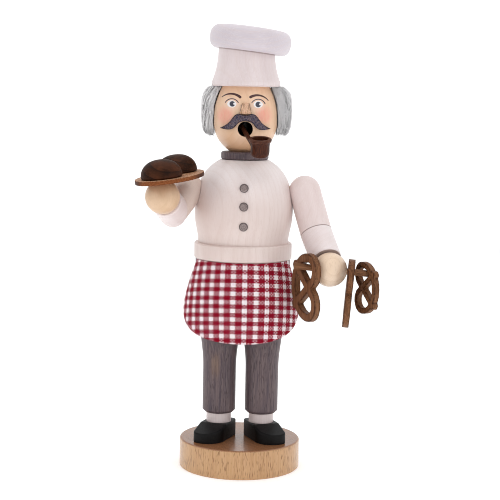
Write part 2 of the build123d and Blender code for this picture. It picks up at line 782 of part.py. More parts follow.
# Pretzel: one strand sawn from board, two loops and a belly arc, with the ends laid over the belly.
# Drawn about the middle of the belly arc, with the belly towards -X and the loops one above the other.
def pretzel_blank(width, strand, knob_diameter):
    belly = (width - strand) / 2
    loop = belly * loop_share
    loop_place = belly * loop_place_share
    loop_across = sqrt((belly - loop) ** 2 - loop_place ** 2)
    crossing = loop_across - belly * crossing_share
    spread = hypot(loop_place, loop_across - crossing)
    steep = atan2(loop_place, loop_across - crossing) - atan2(loop, sqrt(spread ** 2 - loop ** 2))
    leave = (loop_across + loop * sin(steep), loop_place - loop * cos(steep))
    knob = (crossing - belly * tail_share * cos(steep), -belly * tail_share * sin(steep))
    reach = width
    joint = atan2(loop_place, loop_across)
    joint_ray = (reach * cos(joint), reach * sin(joint))
    mouth = make_face(Polyline((0, 0), joint_ray, (reach, reach), (reach, -reach),
                               (joint_ray[0], -joint_ray[1]), close=True))
    blank = Circle(belly + strand / 2) - Circle(belly - strand / 2) - mouth
    leave_ray = (reach * sin(steep), -reach * cos(steep))
    back = make_face(Polyline((0, 0), joint_ray, (-reach, reach), (-reach, -reach), (0, -reach), leave_ray,
                              close=True))
    curl = Pos(loop_across, loop_place) * (Circle(loop + strand / 2) - Circle(loop - strand / 2) - back)
    strip = Rectangle(hypot(leave[0] - knob[0], leave[1] - knob[1]), strand)
    strip = Pos((leave[0] + knob[0]) / 2, (leave[1] + knob[1]) / 2) * (Rot(0, 0, degrees(steep)) * strip)
    piece = curl + strip + Pos(*knob) * Circle(knob_diameter / 2)
    return blank + piece + mirror(piece, about=Plane.XZ)


def hung_pretzel(width, strand, thickness, knob_diameter, gap, turn, fall):
    """A pretzel with its weight straight below the rod, which passes through its upper loop."""
    plate = extrude(pretzel_blank(width, strand, knob_diameter), thickness / 2, both=True)
    balance = plate.center(CenterOf.MASS).X
    inner = width / 2 - strand
    slack = gap + thickness / 2 * (tan(radians(rod_fall - fall)) + abs(sin(radians(turn + rod_yaw))) / 2)
    rod_height = sqrt(inner ** 2 - balance ** 2) - rod_diameter / 2 - slack
    return Pos(-balance, -rod_height, 0) * plate


def on_the_rod(plate, place, turn, fall):
    """A hung pretzel put in its place along the rod, turned aside and leaning with the rod's fall."""
    loops_way = Vector(sin(radians(turn)), -cos(radians(turn)), 0)
    face_way = Vector(-cos(radians(turn)) * cos(radians(fall)), -sin(radians(turn)) * cos(radians(fall)),
                      sin(radians(fall)))
    return Plane(origin=rod_point(place), x_dir=loops_way, z_dir=face_way) * plate


for name, side in (("right", -1), ("left", 1)):
    parts["shoe_" + name] = make_shoe(side)
    parts["sock_" + name] = make_sock(side)
    parts["trouser_leg_" + name] = make_trouser(side)
    parts["leg_dowel_" + name] = make_leg_dowel(side)
    parts["hip_dowel_" + name] = make_hip_dowel(side)

parts["base_disc"] = make_base()
parts["hip_block"] = make_hip_block()
parts["ember_plate"] = make_ember_plate()
parts["plate_tack"] = make_plate_tack()
parts["apron"] = make_apron()
parts["jacket_body"] = make_jacket()
for name in button_height_shares:
    parts[name] = make_button(name)
parts["collar_ring"] = make_collar()
parts["head"] = make_head()
parts["nose"] = make_nose()
parts["moustache"] = make_moustache()
parts["fur_hair"] = make_hair()
parts["hat_band"] = make_hat_band()
parts["hat_crown"] = make_hat_crown()
parts["hat_dowel"] = make_hat_dowel()
parts["crown_dowel"] = make_crown_dowel()
parts["pipe_bowl"] = make_pipe_bowl()
parts["pipe_stem"] = make_pipe_stem()

arms = {"right": (right_shoulder, right_elbow, right_hand_centre),
        "left": (left_shoulder, left_elbow, left_hand_centre)}
for name, (shoulder, elbow, hand) in arms.items():
    parts["shoulder_dowel_" + name] = shoulder_dowel(shoulder, 0.0)
    parts["upper_sleeve_" + name] = make_upper_sleeve(shoulder, elbow, hand)
    parts["forearm_" + name] = make_forearm(shoulder, elbow, hand)
    parts["wrist_dowel_" + name] = wrist_dowel(elbow, hand, 0.0)
parts["hand_right"] = make_right_hand()
parts["hand_left"] = make_left_hand()
parts["bread_tray"] = make_tray()
parts["loaf_front"] = make_loaf(-1)
parts["loaf_rear"] = make_loaf(1)

parts["pretzel_rod"] = make_rod()
large = (pretzel_width, pretzel_strand, pretzel_thickness, pretzel_knob_diameter, hang_gap)
small = (small_pretzel_width, small_pretzel_strand, small_pretzel_thickness, small_pretzel_knob_diameter,
         small_hang_gap)
parts["pretzel_left"] = on_the_rod(hung_pretzel(*large, pretzel_turn, 0.0), left_pretzel_place, pretzel_turn, 0.0)
parts["pretzel_middle"] = on_the_rod(hung_pretzel(*large, -rod_yaw, rod_fall), middle_pretzel_place, -rod_yaw,
                                     rod_fall)
parts["pretzel_right"] = on_the_rod(hung_pretzel(*small, pretzel_turn, 0.0).mirror(Plane.YZ),
                                    right_pretzel_place, pretzel_turn, 0.0)

for name, piece in parts.items():
    export_step(piece, f"parts/{name}.step")
print(len(parts), "pieces")
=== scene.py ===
import math
import bmesh
import bpy
import numpy as np
from mathutils import Matrix, Vector, kdtree, noise


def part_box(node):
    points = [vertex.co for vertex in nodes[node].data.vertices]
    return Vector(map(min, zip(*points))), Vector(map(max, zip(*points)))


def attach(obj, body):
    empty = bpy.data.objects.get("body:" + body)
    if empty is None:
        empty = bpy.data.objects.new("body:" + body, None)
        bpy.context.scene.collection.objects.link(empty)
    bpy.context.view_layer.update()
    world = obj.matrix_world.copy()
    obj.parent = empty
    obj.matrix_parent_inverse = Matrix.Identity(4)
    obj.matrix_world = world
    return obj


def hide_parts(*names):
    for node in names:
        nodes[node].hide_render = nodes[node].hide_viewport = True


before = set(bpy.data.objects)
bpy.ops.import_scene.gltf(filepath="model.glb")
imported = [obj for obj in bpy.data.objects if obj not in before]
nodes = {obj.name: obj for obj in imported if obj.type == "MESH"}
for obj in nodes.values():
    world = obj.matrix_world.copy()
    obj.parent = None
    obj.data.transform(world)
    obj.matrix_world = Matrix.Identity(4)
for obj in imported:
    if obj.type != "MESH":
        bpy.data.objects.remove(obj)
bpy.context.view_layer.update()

scene = bpy.context.scene

# Camera: a long lens two thirds of a metre in front of the figure, a little above its face and looking
# slightly down, with the small turn and roll that the photograph shows.
camera_place = Vector((0.0, -0.6846, 0.18957))
camera_pitch = math.radians(6.728)
camera_yaw = 0.0051
camera_roll = 0.0196
focal_in_pixels = 1390.2
frame_in_pixels = 500

level_right = Vector((math.cos(camera_yaw), -math.sin(camera_yaw), 0.0))
level_ahead = Vector((math.sin(camera_yaw), math.cos(camera_yaw), 0.0))
straight_up = Vector((0.0, 0.0, 1.0))
ahead = level_ahead * math.cos(camera_pitch) - straight_up * math.sin(camera_pitch)
upwards = level_ahead * math.sin(camera_pitch) + straight_up * math.cos(camera_pitch)
camera_x = level_right * math.cos(camera_roll) + upwards * math.sin(camera_roll)
camera_y = upwards * math.cos(camera_roll) - level_right * math.sin(camera_roll)
camera_data = bpy.data.cameras.new("camera")
camera_data.sensor_width = 36.0
camera_data.lens = focal_in_pixels * camera_data.sensor_width / frame_in_pixels
camera_data.clip_start = 0.01
camera = bpy.data.objects.new("camera", camera_data)
camera.matrix_world = Matrix((camera_x, camera_y, -ahead)).transposed().to_4x4()
camera.location = camera_place
scene.collection.objects.link(camera)
scene.camera = camera
scene.view_settings.view_transform = "Standard"
scene.cycles.filter_width = 1.0

# Floor and light: a white sweep that glows a little, in a tent that is bright behind and above and dim on
# the camera's side. Two soft boxes in front and one overhead light the figure.
floor_reach = 1.0
floor_glow = 0.33
floor_dull, floor_clean = (0.90, 0.90, 0.90), (0.93, 0.93, 0.93)
tent_dim, tent_bright, tent_behind_object = 0.16, 1.0, 1.2
light_aim = Vector((0, 0, 0.11))
soft_boxes = [("front_box_left", (-0.8, -0.95, 0.6), (1.2, 1.0), 4.2),
              ("front_box_right", (0.75, -0.95, 0.65), (1.2, 1.0), 5.4),
              ("top_box", (0.0, -0.2, 1.1), (1.0, 1.0), 3.8)]


def put(tree, kind, inputs=None, **settings):
    """Adds a shader node; inputs are sockets to link or values to set."""
    node = tree.nodes.new("ShaderNode" + kind)
    for name, value in settings.items():
        setattr(node, name, value)
    for name, value in (inputs or {}).items():
        if isinstance(value, bpy.types.NodeSocket):
            tree.links.new(value, node.inputs[name])
        else:
            node.inputs[name].default_value = value
    return node


def fed(kind, inputs, **settings):
    """Adds a shader node in the tree of the first socket that feeds it."""
    tree = next(value.id_data for value in inputs.values() if isinstance(value, bpy.types.NodeSocket))
    return put(tree, kind, inputs, **settings)


def calc(operation, first, second=0.0, clamp=False):
    """Arithmetic with two numbers."""
    return fed("Math", {0: first, 1: second}, operation=operation, use_clamp=clamp).outputs[0]


def times(first, second, clamp=False):
    return calc("MULTIPLY", first, second, clamp)


def spread(value, low, high, to_low=0.0, to_high=1.0, soft=False):
    """Maps a value from one range to another and holds it at the ends."""
    inputs = {0: value, 1: low, 2: high, 3: to_low, 4: to_high}
    kind = "SMOOTHSTEP" if soft else "LINEAR"
    return fed("MapRange", inputs, interpolation_type=kind).outputs[0]


def mix(share, first, second, blend="MIX"):
    """Mixes two colours."""
    colours = [c if isinstance(c, bpy.types.NodeSocket) else (*c, 1.0) for c in (first, second)]
    inputs = {0: share, 6: colours[0], 7: colours[1]}
    return fed("Mix", inputs, data_type="RGBA", blend_type=blend).outputs[2]


def parts_of(vector):
    """A vector's three parts."""
    return fed("SeparateXYZ", {0: vector}).outputs


def new_material(name, roughness=0.5, **constants):
    """A material with its Principled shader; constants are set on the shader's own sockets."""
    material = bpy.data.materials.new(name)
    material.use_nodes = True
    tree = material.node_tree
    shader = tree.nodes["Principled BSDF"]
    shader.inputs["Roughness"].default_value = roughness
    for socket, value in constants.items():
        shader.inputs[socket.replace("_", " ")].default_value = value
    return material, tree, shader


def connect(socket, shader, name):
    shader.id_data.links.new(socket, shader.inputs[name])


def soft_box(name, place, size, power):
    light = bpy.data.lights.new(name, "AREA")
    light.shape = "RECTANGLE"
    light.size, light.size_y = size
    light.energy = power
    box = bpy.data.objects.new(name, light)
    box.location = place
    box.rotation_euler = (light_aim - Vector(place)).to_track_quat("-Z", "Y").to_euler()
    scene.collection.objects.link(box)


floor_mesh = bpy.data.meshes.new("floor")
floor_mesh.from_pydata([(-floor_reach, -floor_reach, 0), (floor_reach, -floor_reach, 0),
                        (floor_reach, floor_reach, 0), (-floor_reach, floor_reach, 0)], [], [(0, 1, 2, 3)])
floor = bpy.data.objects.new("floor", floor_mesh)
scene.collection.objects.link(floor)
floor_finish, tree, shader = new_material("floor_white", roughness=0.9, Specular_IOR_Level=0.0,
                                          Emission_Color=(1.0, 1.0, 1.0, 1.0), Emission_Strength=floor_glow)
mottle = put(tree, "TexNoise", {"Scale": 3.0, "Detail": 2.0}).outputs[0]
connect(mix(mottle, floor_dull, floor_clean), shader, "Base Color")
floor_mesh.materials.append(floor_finish)

tent = bpy.data.worlds.new("tent")
scene.world = tent
tent.use_nodes = True
tree = tent.node_tree
background = tree.nodes["Background"]
to_back = parts_of(put(tree, "TexCoord").outputs["Generated"])[1]
walls = spread(to_back, -0.55, 0.35, tent_dim, tent_bright, soft=True)
seen = put(tree, "LightPath").outputs["Is Camera Ray"]
strength = calc("MAXIMUM", walls, times(seen, tent_behind_object))
connect(strength, background, "Strength")
background.inputs["Color"].default_value = (1.0, 1.0, 1.0, 1.0)
for name, place, size, power in soft_boxes:
    soft_box(name, place, size, power)

# Base: a beech disc turned with the grain upright, so its side shows short dark flecks and its top is
# end grain. It has a clear gloss lacquer that mirrors the shoes.
origin = (0.0, 0.0, 0.0)
beech_light, beech_dark, beech_ring = (0.58, 0.345, 0.165), (0.47, 0.255, 0.112), (0.40, 0.19, 0.08)
beech_fibre, beech_fleck = (0.68, 0.42, 0.24), (0.21, 0.095, 0.038)
end_grain, end_pore, end_ring = (0.34, 0.150, 0.068), (0.20, 0.078, 0.032), (0.20, 0.09, 0.045)


def shader_group(name, takes, gives):
    """A node group with named inputs and outputs; returns the group, its tree's input and output nodes."""
    group = bpy.data.node_groups.new(name, "ShaderNodeTree")
    for label, value in takes.items():
        kind = "NodeSocketVector" if isinstance(value, tuple) else "NodeSocketFloat"
        group.interface.new_socket(label, in_out="INPUT", socket_type=kind).default_value = value
    for label in gives:
        group.interface.new_socket(label, in_out="OUTPUT", socket_type="NodeSocketFloat")
    return group, group.nodes.new("NodeGroupInput").outputs, group.nodes.new("NodeGroupOutput").inputs


def place_group(group, inputs):
    return fed("Group", inputs, node_tree=group).outputs


def vectors(operation, first, second):
    """Arithmetic with two vectors."""
    return fed("VectorMath", {0: first, 1: second}, operation=operation).outputs[0]


def scaled(place, factors):
    return vectors("MULTIPLY", place, factors)


def length_of(vector):
    return fed("VectorMath", {0: vector}, operation="LENGTH").outputs["Value"]


def cloudy(place, scale, detail=2.0, roughness=0.5):
    inputs = {"Vector": place, "Scale": scale, "Detail": detail, "Roughness": roughness}
    return fed("TexNoise", inputs).outputs[0]


def tinge(tone, mask, strength, colour):
    """Lays a colour over a tone where a mask says."""
    return mix(times(mask, strength), tone, colour)


def swayed(place, read_at, scale, reach):
    """A place moved to and fro by soft noise that is read at another place."""
    drift = fed("TexNoise", {"Vector": read_at, "Scale": scale, "Detail": 1.0}).outputs[1]
    drift = vectors("SUBTRACT", drift, (0.5, 0.5, 0.5))
    drift = fed("VectorMath", {0: drift, "Scale": reach}, operation="SCALE").outputs[0]
    return vectors("ADD", place, drift)


grown_wood, takes, gives = shader_group(
    "grown wood", {"Place": origin, "Pith": origin, "Ring Width": 0.0016, "Wander": 0.0015},
    ("Rings", "Fibres", "Flecks", "Clouds"))
moved = swayed(takes["Place"], scaled(takes["Place"], (1.0, 1.0, 0.2)), 70.0, takes["Wander"])
from_pith = scaled(vectors("SUBTRACT", moved, takes["Pith"]), (1.0, 1.0, 0.0))
year = calc("FRACT", calc("DIVIDE", length_of(from_pith), takes["Ring Width"]))
late = calc("POWER", year, 3.0)
grown_wood.links.new(times(late, spread(year, 1.0, 0.93)), gives["Rings"])
grown_wood.links.new(cloudy(scaled(takes["Place"], (1.0, 1.0, 0.035)), 2200.0, 3.0), gives["Fibres"])
dashes = cloudy(scaled(takes["Place"], (1.0, 1.0, 0.12)), 2300.0, 1.0)
grown_wood.links.new(spread(dashes, 0.57, 0.68), gives["Flecks"])
grown_wood.links.new(cloudy(scaled(takes["Place"], (1.0, 1.0, 0.35)), 90.0, 2.0), gives["Clouds"])


def grain_of(place, pith, ring_width=0.0016, wander=0.0015):
    """The wood's rings, fibres, flecks and clouds at a place."""
    inputs = {"Place": place, "Pith": pith, "Ring Width": ring_width, "Wander": wander}
    return place_group(grown_wood, inputs)


def object_place(tree, turn=origin, shift=origin):
    """The place on the piece, turned so that its grain runs along the third axis."""
    place = put(tree, "TexCoord").outputs["Object"]
    return fed("Mapping", {"Vector": place, "Rotation": turn, "Location": shift}).outputs[0]


def surface_facing(tree):
    """The three parts of the surface's own normal."""
    return parts_of(put(tree, "NewGeometry").outputs["Normal"])


def colour_in(shader, tone):
    connect(tone, shader, "Base Color")


def raise_relief(shader, height, depth, strength=0.5):
    """Gives the surface a fine relief of a depth in metres."""
    inputs = {"Height": height, "Distance": depth, "Strength": strength}
    connect(fed("Bump", inputs).outputs[0], shader, "Normal")


def dress(material, *names):
    """Gives CAD nodes their finish."""
    for name in names:
        nodes[name].data.materials.clear()
        nodes[name].data.materials.append(material)


base_finish, tree, shader = new_material("beech_lacquered", roughness=0.22, Coat_Weight=0.15,
                                         Coat_Roughness=0.08, Specular_IOR_Level=0.4)
place = object_place(tree)
wood = grain_of(place, (0.09, 0.05, 0.0), ring_width=0.0034, wander=0.004)
tone = mix(wood["Clouds"], beech_light, beech_dark)
tone = tinge(tone, wood["Rings"], 0.35, beech_ring)
tone = mix(spread(wood["Fibres"], 0.35, 0.65, 0.0, 0.35), tone, beech_fibre)
side = tinge(tone, wood["Flecks"], 0.7, beech_fleck)
pores = cloudy(scaled(place, (1.0, 1.0, 0.3)), 2600.0, 1.0)
top = mix(spread(pores, 0.5, 0.7, 0.0, 0.6), end_grain, end_pore)
top = tinge(top, wood["Rings"], 0.4, end_ring)
colour_in(shader, mix(spread(surface_facing(tree)[2], 0.35, 0.85), side, top))
raise_relief(shader, calc("SUBTRACT", wood["Fibres"], wood["Flecks"]), 0.00004)
dress(base_finish, "base_disc")

# Shoes: small blocks of hardwood, band-sawn and sanded, then stained black. The stain is thinner on the
# arrises, which show a little grey.
black_stain, black_fibre, black_worn = (0.003, 0.0028, 0.003), (0.009, 0.0082, 0.0088), (0.05, 0.044, 0.046)
sharp_angle = math.radians(35)
arris_step = 0.0002
weld_distance = 0.000002


def sharp_edge_points(mesh):
    """Points along the edges of a CAD mesh where two faces meet at a sharp angle."""
    normals, points = {}, []
    for face in mesh.polygons:
        for key in face.edge_keys:
            normals.setdefault(key, []).append(face.normal.copy())
    for (first, second), sides in normals.items():
        if len(sides) == 2 and sides[0].angle(sides[1], 0.0) > sharp_angle:
            start, end = mesh.vertices[first].co, mesh.vertices[second].co
            count = max(1, round((end - start).length / arris_step))
            points += [start.lerp(end, i / count) for i in range(count + 1)]
    return points


def welded(node):
    """A copy of a CAD node's mesh with its faces joined along their edges."""
    mesh = nodes[node].data.copy()
    work = bmesh.new()
    work.from_mesh(mesh)
    bmesh.ops.remove_doubles(work, verts=work.verts, dist=weld_distance)
    work.to_mesh(mesh)
    work.free()
    return mesh


def finished_mesh(piece):
    """The piece's mesh with its modifiers applied."""
    bpy.context.view_layer.update()
    view = bpy.context.evaluated_depsgraph_get()
    return bpy.data.meshes.new_from_object(piece.evaluated_get(view))


def smooth_shaded(mesh):
    mesh.polygons.foreach_set("use_smooth", [True] * len(mesh.polygons))
    return mesh


def carved(node, voxel, rounding, arris_reach=0.0008, waviness=0.0, wave_pitch=500.0):
    """A hand-worked copy of a CAD node: arrises eased, sides a little uneven, and each point's
    closeness to an arris kept for the wear in its finish."""
    mesh = welded(node)
    arrises = sharp_edge_points(mesh)
    tree_of_arrises = kdtree.KDTree(len(arrises))
    for index, point in enumerate(arrises):
        tree_of_arrises.insert(point, index)
    tree_of_arrises.balance()
    blank = bpy.data.objects.new(node + "_blank", mesh)
    scene.collection.objects.link(blank)
    remesh = blank.modifiers.new("remesh", "REMESH")
    remesh.mode = "VOXEL"
    remesh.voxel_size = voxel
    smooth = blank.modifiers.new("ease", "SMOOTH")
    smooth.factor = 0.5
    smooth.iterations = rounding
    shaped = finished_mesh(blank)
    bpy.data.objects.remove(blank)
    places = np.empty(len(shaped.vertices) * 3, np.float32)
    normals = places.copy()
    shaped.vertices.foreach_get("co", places)
    shaped.vertices.foreach_get("normal", normals)
    points = [Vector(place) for place in places.reshape(-1, 3)]
    distances = np.array([tree_of_arrises.find(point)[2] for point in points])
    closeness = np.clip(1.0 - distances / arris_reach, 0.0, 1.0).astype(np.float32)
    shaped.attributes.new("arris", "FLOAT", "POINT").data.foreach_set("value", closeness)
    if waviness:
        sway = np.repeat([noise.noise(point * wave_pitch) for point in points], 3)
        shaped.vertices.foreach_set("co", (places + normals * sway * waviness).astype(np.float32))
    shaped.name = node
    return smooth_shaded(shaped)


def add_piece(name, mesh, body, slot, material, *replaced):
    """Links a mesh as a piece that rides on a body and stands for the CAD nodes it replaces."""
    piece = bpy.data.objects.new(name, mesh)
    scene.collection.objects.link(piece)
    mesh.materials.clear()
    mesh.materials.append(material)
    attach(piece, body)
    if replaced:
        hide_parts(*replaced)
    return piece


def add_worked(name, node, body, slot, material, **cut):
    """Adds the hand-worked copy of a CAD node in the node's stead."""
    add_piece(name, carved(node, **cut), body, slot, material, node)


arris_wear, takes, gives = shader_group(
    "arris wear", {"Place": origin, "Strength": 1.0, "Breakup": 900.0}, ("Wear",))
closeness = put(arris_wear, "Attribute", attribute_name="arris").outputs["Fac"]
patches = cloudy(takes["Place"], takes["Breakup"], 3.0)
broken = times(closeness, spread(patches, 0.3, 0.65))
arris_wear.links.new(times(broken, takes["Strength"], clamp=True), gives["Wear"])


def wear_of(place, strength, breakup=900.0):
    """How far the finish is worn or scorched at an arris, from 0 to 1."""
    return place_group(arris_wear, {"Place": place, "Strength": strength, "Breakup": breakup})["Wear"]


shoe_finish, tree, shader = new_material("black_stain", roughness=0.42, Specular_IOR_Level=0.16)
place = object_place(tree, turn=(math.radians(90), 0.0, 0.0))
wood = grain_of(place, (0.0, 0.03, 0.0), ring_width=0.0018)
tone = mix(spread(wood["Fibres"], 0.4, 0.7, 0.0, 0.6), black_stain, black_fibre)
colour_in(shader, mix(wear_of(place, 0.55), tone, black_worn))
connect(spread(wood["Fibres"], 0.3, 0.7, 0.36, 0.52), shader, "Roughness")
raise_relief(shader, wood["Fibres"], 0.00006, 0.6)
for shoe in ("shoe_right", "shoe_left"):
    add_worked(shoe + "_carved", shoe, "lower_body", "black_stained_wood", shoe_finish,
               voxel=0.00028, rounding=4)

# Socks: short turned rings strung between shoe and trouser leg, in the same thin white glaze on pale wood
# as the jacket, a little dulled.
sock_tint, sock_shade = (0.70, 0.60, 0.595), (0.63, 0.52, 0.51)
glaze_ring, glaze_fibre, glaze_fleck = (0.70, 0.57, 0.53), (0.90, 0.84, 0.83), (0.62, 0.49, 0.44)
glaze_low_shade, glaze_joint_shade = (0.89, 0.83, 0.79), (0.17, 0.105, 0.085)


def white_glaze(name, tint, shade, turn=origin, shift=origin, joint_shades=(), low_shade=None):
    """A thin white glaze on pale wood; the grain shows through as faint warm lines. Along a glued face a thin
    brown line of painted shade darkens the joint, and below a height the glaze may be darkened and warmed as
    painted shade."""
    material, tree, shader = new_material(name, roughness=0.38, Coat_Weight=0.15, Coat_Roughness=0.25)
    wood = grain_of(object_place(tree, turn, shift), (0.06, 0.04, 0.0), ring_width=0.0026, wander=0.003)
    tone = mix(spread(wood["Clouds"], 0.3, 0.7), tint, shade)
    tone = tinge(tone, wood["Rings"], 0.28, glaze_ring)
    tone = mix(spread(wood["Fibres"], 0.45, 0.75, 0.0, 0.22), tone, glaze_fibre)
    tone = tinge(tone, wood["Flecks"], 0.14, glaze_fleck)
    # Below a height the glaze is darkened and warmed as painted shade.
    if low_shade:
        full, none = low_shade
        height = parts_of(object_place(tree))[2]
        tone = mix(spread(height, none, full, soft=True), tone, glaze_low_shade, "MULTIPLY")
    # Painted shade: a thin dark line along each glued face.
    for (normal, distance), width in joint_shades:
        along = fed("VectorMath", {0: object_place(tree), 1: normal}, operation="DOT_PRODUCT")
        depth = calc("ABSOLUTE", calc("SUBTRACT", along.outputs["Value"], distance))
        tone = mix(spread(depth, width, width * 0.4, 0.0, 0.75), tone, glaze_joint_shade)
    colour_in(shader, tone)
    raise_relief(shader, wood["Fibres"], 0.00003)
    return material


dress(white_glaze("sock_glaze", sock_tint, sock_shade), "sock_right", "sock_left")

# Trousers: two turned legs and the turned hip block above them, in a thin grey stain that lets streaks
# of the brown wood through. The dowels inside are plain birch.
stain_dark, stain_pale, stain_ring = (0.066, 0.048, 0.064), (0.165, 0.116, 0.116), (0.085, 0.06, 0.062)
stain_fibre, stain_fleck, bare_brown = (0.20, 0.150, 0.148), (0.045, 0.030, 0.034), (0.26, 0.16, 0.10)
brown_place = (-0.0125, -0.0075, 0.052)
birch_dark, birch_light, birch_fleck = (0.60, 0.44, 0.29), (0.74, 0.59, 0.42), (0.4, 0.26, 0.15)


def grey_stain(name, shift=origin, brown_streak=None):
    """A thin grey stain; the brown wood shows in one streak, round a place."""
    material, tree, shader = new_material(name, roughness=0.42, Specular_IOR_Level=0.3)
    place = object_place(tree, shift=shift)
    wood = grain_of(place, (0.05, 0.04, 0.0), ring_width=0.0022, wander=0.003)
    streaks = cloudy(scaled(place, (1.0, 1.0, 0.05)), 900.0, 4.0, 0.7)
    tone = mix(spread(streaks, 0.35, 0.68), stain_dark, stain_pale)
    tone = tinge(tone, wood["Rings"], 0.4, stain_ring)
    tone = mix(spread(wood["Fibres"], 0.45, 0.7, 0.0, 0.5), tone, stain_fibre)
    tone = tinge(tone, wood["Flecks"], 0.6, stain_fleck)
    if brown_streak:
        away = scaled(vectors("SUBTRACT", place, brown_streak), (1.0, 1.0, 0.35))
        close = spread(length_of(away), 0.0034, 0.0006, soft=True)
        share = times(close, spread(streaks, 0.4, 0.6, 0.15, 0.6))
        tone = mix(share, tone, bare_brown)
    colour_in(shader, tone)
    raise_relief(shader, wood["Fibres"], 0.00005, 0.6)
    return material


dress(grey_stain("trouser_stain_right", brown_streak=brown_place), "trouser_leg_right")
dress(grey_stain("trouser_stain_left", shift=(0.013, 0.02, 0.01)), "trouser_leg_left")
dress(grey_stain("hip_stain", shift=(0.03, 0.0, 0.03)), "hip_block")

dowel_finish, tree, shader = new_material("plain_birch", roughness=0.7)
wood = grain_of(object_place(tree), (0.03, 0.02, 0.0))
tone = mix(wood["Fibres"], birch_dark, birch_light)
colour_in(shader, tinge(tone, wood["Flecks"], 0.4, birch_fleck))
raise_relief(shader, wood["Fibres"], 0.00005, 0.6)
dress(dowel_finish, "leg_dowel_right", "leg_dowel_left", "hip_dowel_right", "hip_dowel_left", "hat_dowel",
      "crown_dowel", "shoulder_dowel_right", "shoulder_dowel_left", "wrist_dowel_right", "wrist_dowel_left")

# Ember plate: a pressed disc of thin brass sheet with an upturned rim, darkened by heat and ash. One steel
# tack with a little rust holds it.
brass, sooty_brass = (0.55, 0.38, 0.16), (0.13, 0.08, 0.05)
steel, rusty_steel = (0.42, 0.40, 0.38), (0.16, 0.10, 0.07)
plate_finish, tree, shader = new_material("heated_brass", roughness=0.35, Metallic=1.0)
place = object_place(tree)
soot = spread(cloudy(place, 260.0, 4.0), 0.42, 0.62)
colour_in(shader, mix(soot, brass, sooty_brass))
connect(spread(soot, 0.0, 1.0, 0.28, 0.6), shader, "Roughness")
raise_relief(shader, cloudy(place, 900.0), 0.00005)
dress(plate_finish, "ember_plate")
tack_finish, tree, shader = new_material("steel_tack", roughness=0.4, Metallic=1.0)
rust = spread(cloudy(object_place(tree), 1500.0, 3.0), 0.5, 0.7)
colour_in(shader, mix(rust, steel, rusty_steel))
dress(tack_finish, "plate_tack")

# Apron: red and white gingham, woven in plain weave, stiffened with size and cut to shape. It is glued
# round the waist under the jacket's hem and stands away from the legs as a shallow cone.
waist_height = 0.1049
waist_radius = 0.02375
cloth_flare, cloth_curl = 0.01256, 0.00546
cloth_thickness = 0.0005
apron_drop = 0.038
apron_corner_drop = 0.020
corner_power = 2.2
top_half_angle = math.radians(69)
side_half_angle = math.radians(77)
fold_depth, ripple_depth = 0.00022, 0.0003
pretzel_room = 0.0016
cone_slope = math.radians(9.9)
cone_length = 0.136
warp_pitch, weft_pitch = 0.00074, 0.00068
warp_start, weft_start = 0.1036, 0.1010
red_warps, white_warps = 4, 3
red_wefts, white_wefts = 3, 3
red_dark, red_light, red_gap_shade = (0.22, 0.0012, 0.010), (0.30, 0.003, 0.020), (0.10, 0.004, 0.010)
white_dark, white_light, white_in_red = (0.80, 0.71, 0.73), (0.88, 0.81, 0.83), (0.66, 0.40, 0.45)


def apron_radius(drop):
    """How far the cloth stands from the axis at a drop below the waist."""
    share = drop / apron_drop
    return waist_radius + cloth_flare * share - cloth_curl * share * share


def apron_mesh(columns=150, rows=90):
    """The hung cloth; each point keeps its place on the flat cut piece, for the weave."""
    vertices, cut = [], []
    for row in range(rows + 1):
        for column in range(columns + 1):
            across = 2 * column / columns - 1
            down = row / rows
            rounded = (1 - abs(across) ** corner_power) ** 0.5
            foot = apron_corner_drop + (apron_drop - apron_corner_drop) * rounded
            drop = foot * down
            widened = min(1.0, drop / apron_corner_drop)
            angle = across * (top_half_angle + (side_half_angle - top_half_angle) * widened)
            radius = apron_radius(drop)
            ripple = fold_depth * math.sin(5.3 * angle + 0.6) * (drop / apron_drop)
            ripple += ripple_depth * noise.noise(Vector((angle * 2.2, drop * 60, 0.4))) * (drop / apron_drop)
            radius += ripple - pretzel_room * max(0.0, math.sin(angle)) ** 2 * drop / apron_drop
            vertices.append((radius * math.sin(angle), -radius * math.cos(angle), waist_height - drop))
            reach = cone_length + drop / math.cos(cone_slope)
            turn = angle * math.sin(cone_slope)
            cut.append((reach * math.sin(turn), reach * math.cos(turn) - cone_length, 0.0))
    faces = []
    for row in range(rows):
        for column in range(columns):
            first = row * (columns + 1) + column
            faces.append((first, first + 1, first + columns + 2, first + columns + 1))
    mesh = bpy.data.meshes.new("apron")
    mesh.from_pydata(vertices, [], faces)
    cut_places = np.array(cut, np.float32).ravel()
    mesh.attributes.new("cut", "FLOAT_VECTOR", "POINT").data.foreach_set("vector", cut_places)
    return smooth_shaded(mesh)


apron_finish, tree, shader = new_material("gingham", roughness=0.85, Specular_IOR_Level=0.12)


def threads(along, start, pitch, red_count, white_count):
    """One direction's threads: each one's number, whether it is red, and its round section."""
    count = calc("DIVIDE", calc("ADD", along, start), pitch)
    number = calc("FLOOR", count)
    repeat = red_count + white_count
    share = calc("FRACT", calc("DIVIDE", calc("ADD", number, 0.5), repeat))
    is_red = calc("GREATER_THAN", share, white_count / repeat)
    section = calc("SINE", times(calc("FRACT", count), math.pi))
    return number, is_red, section


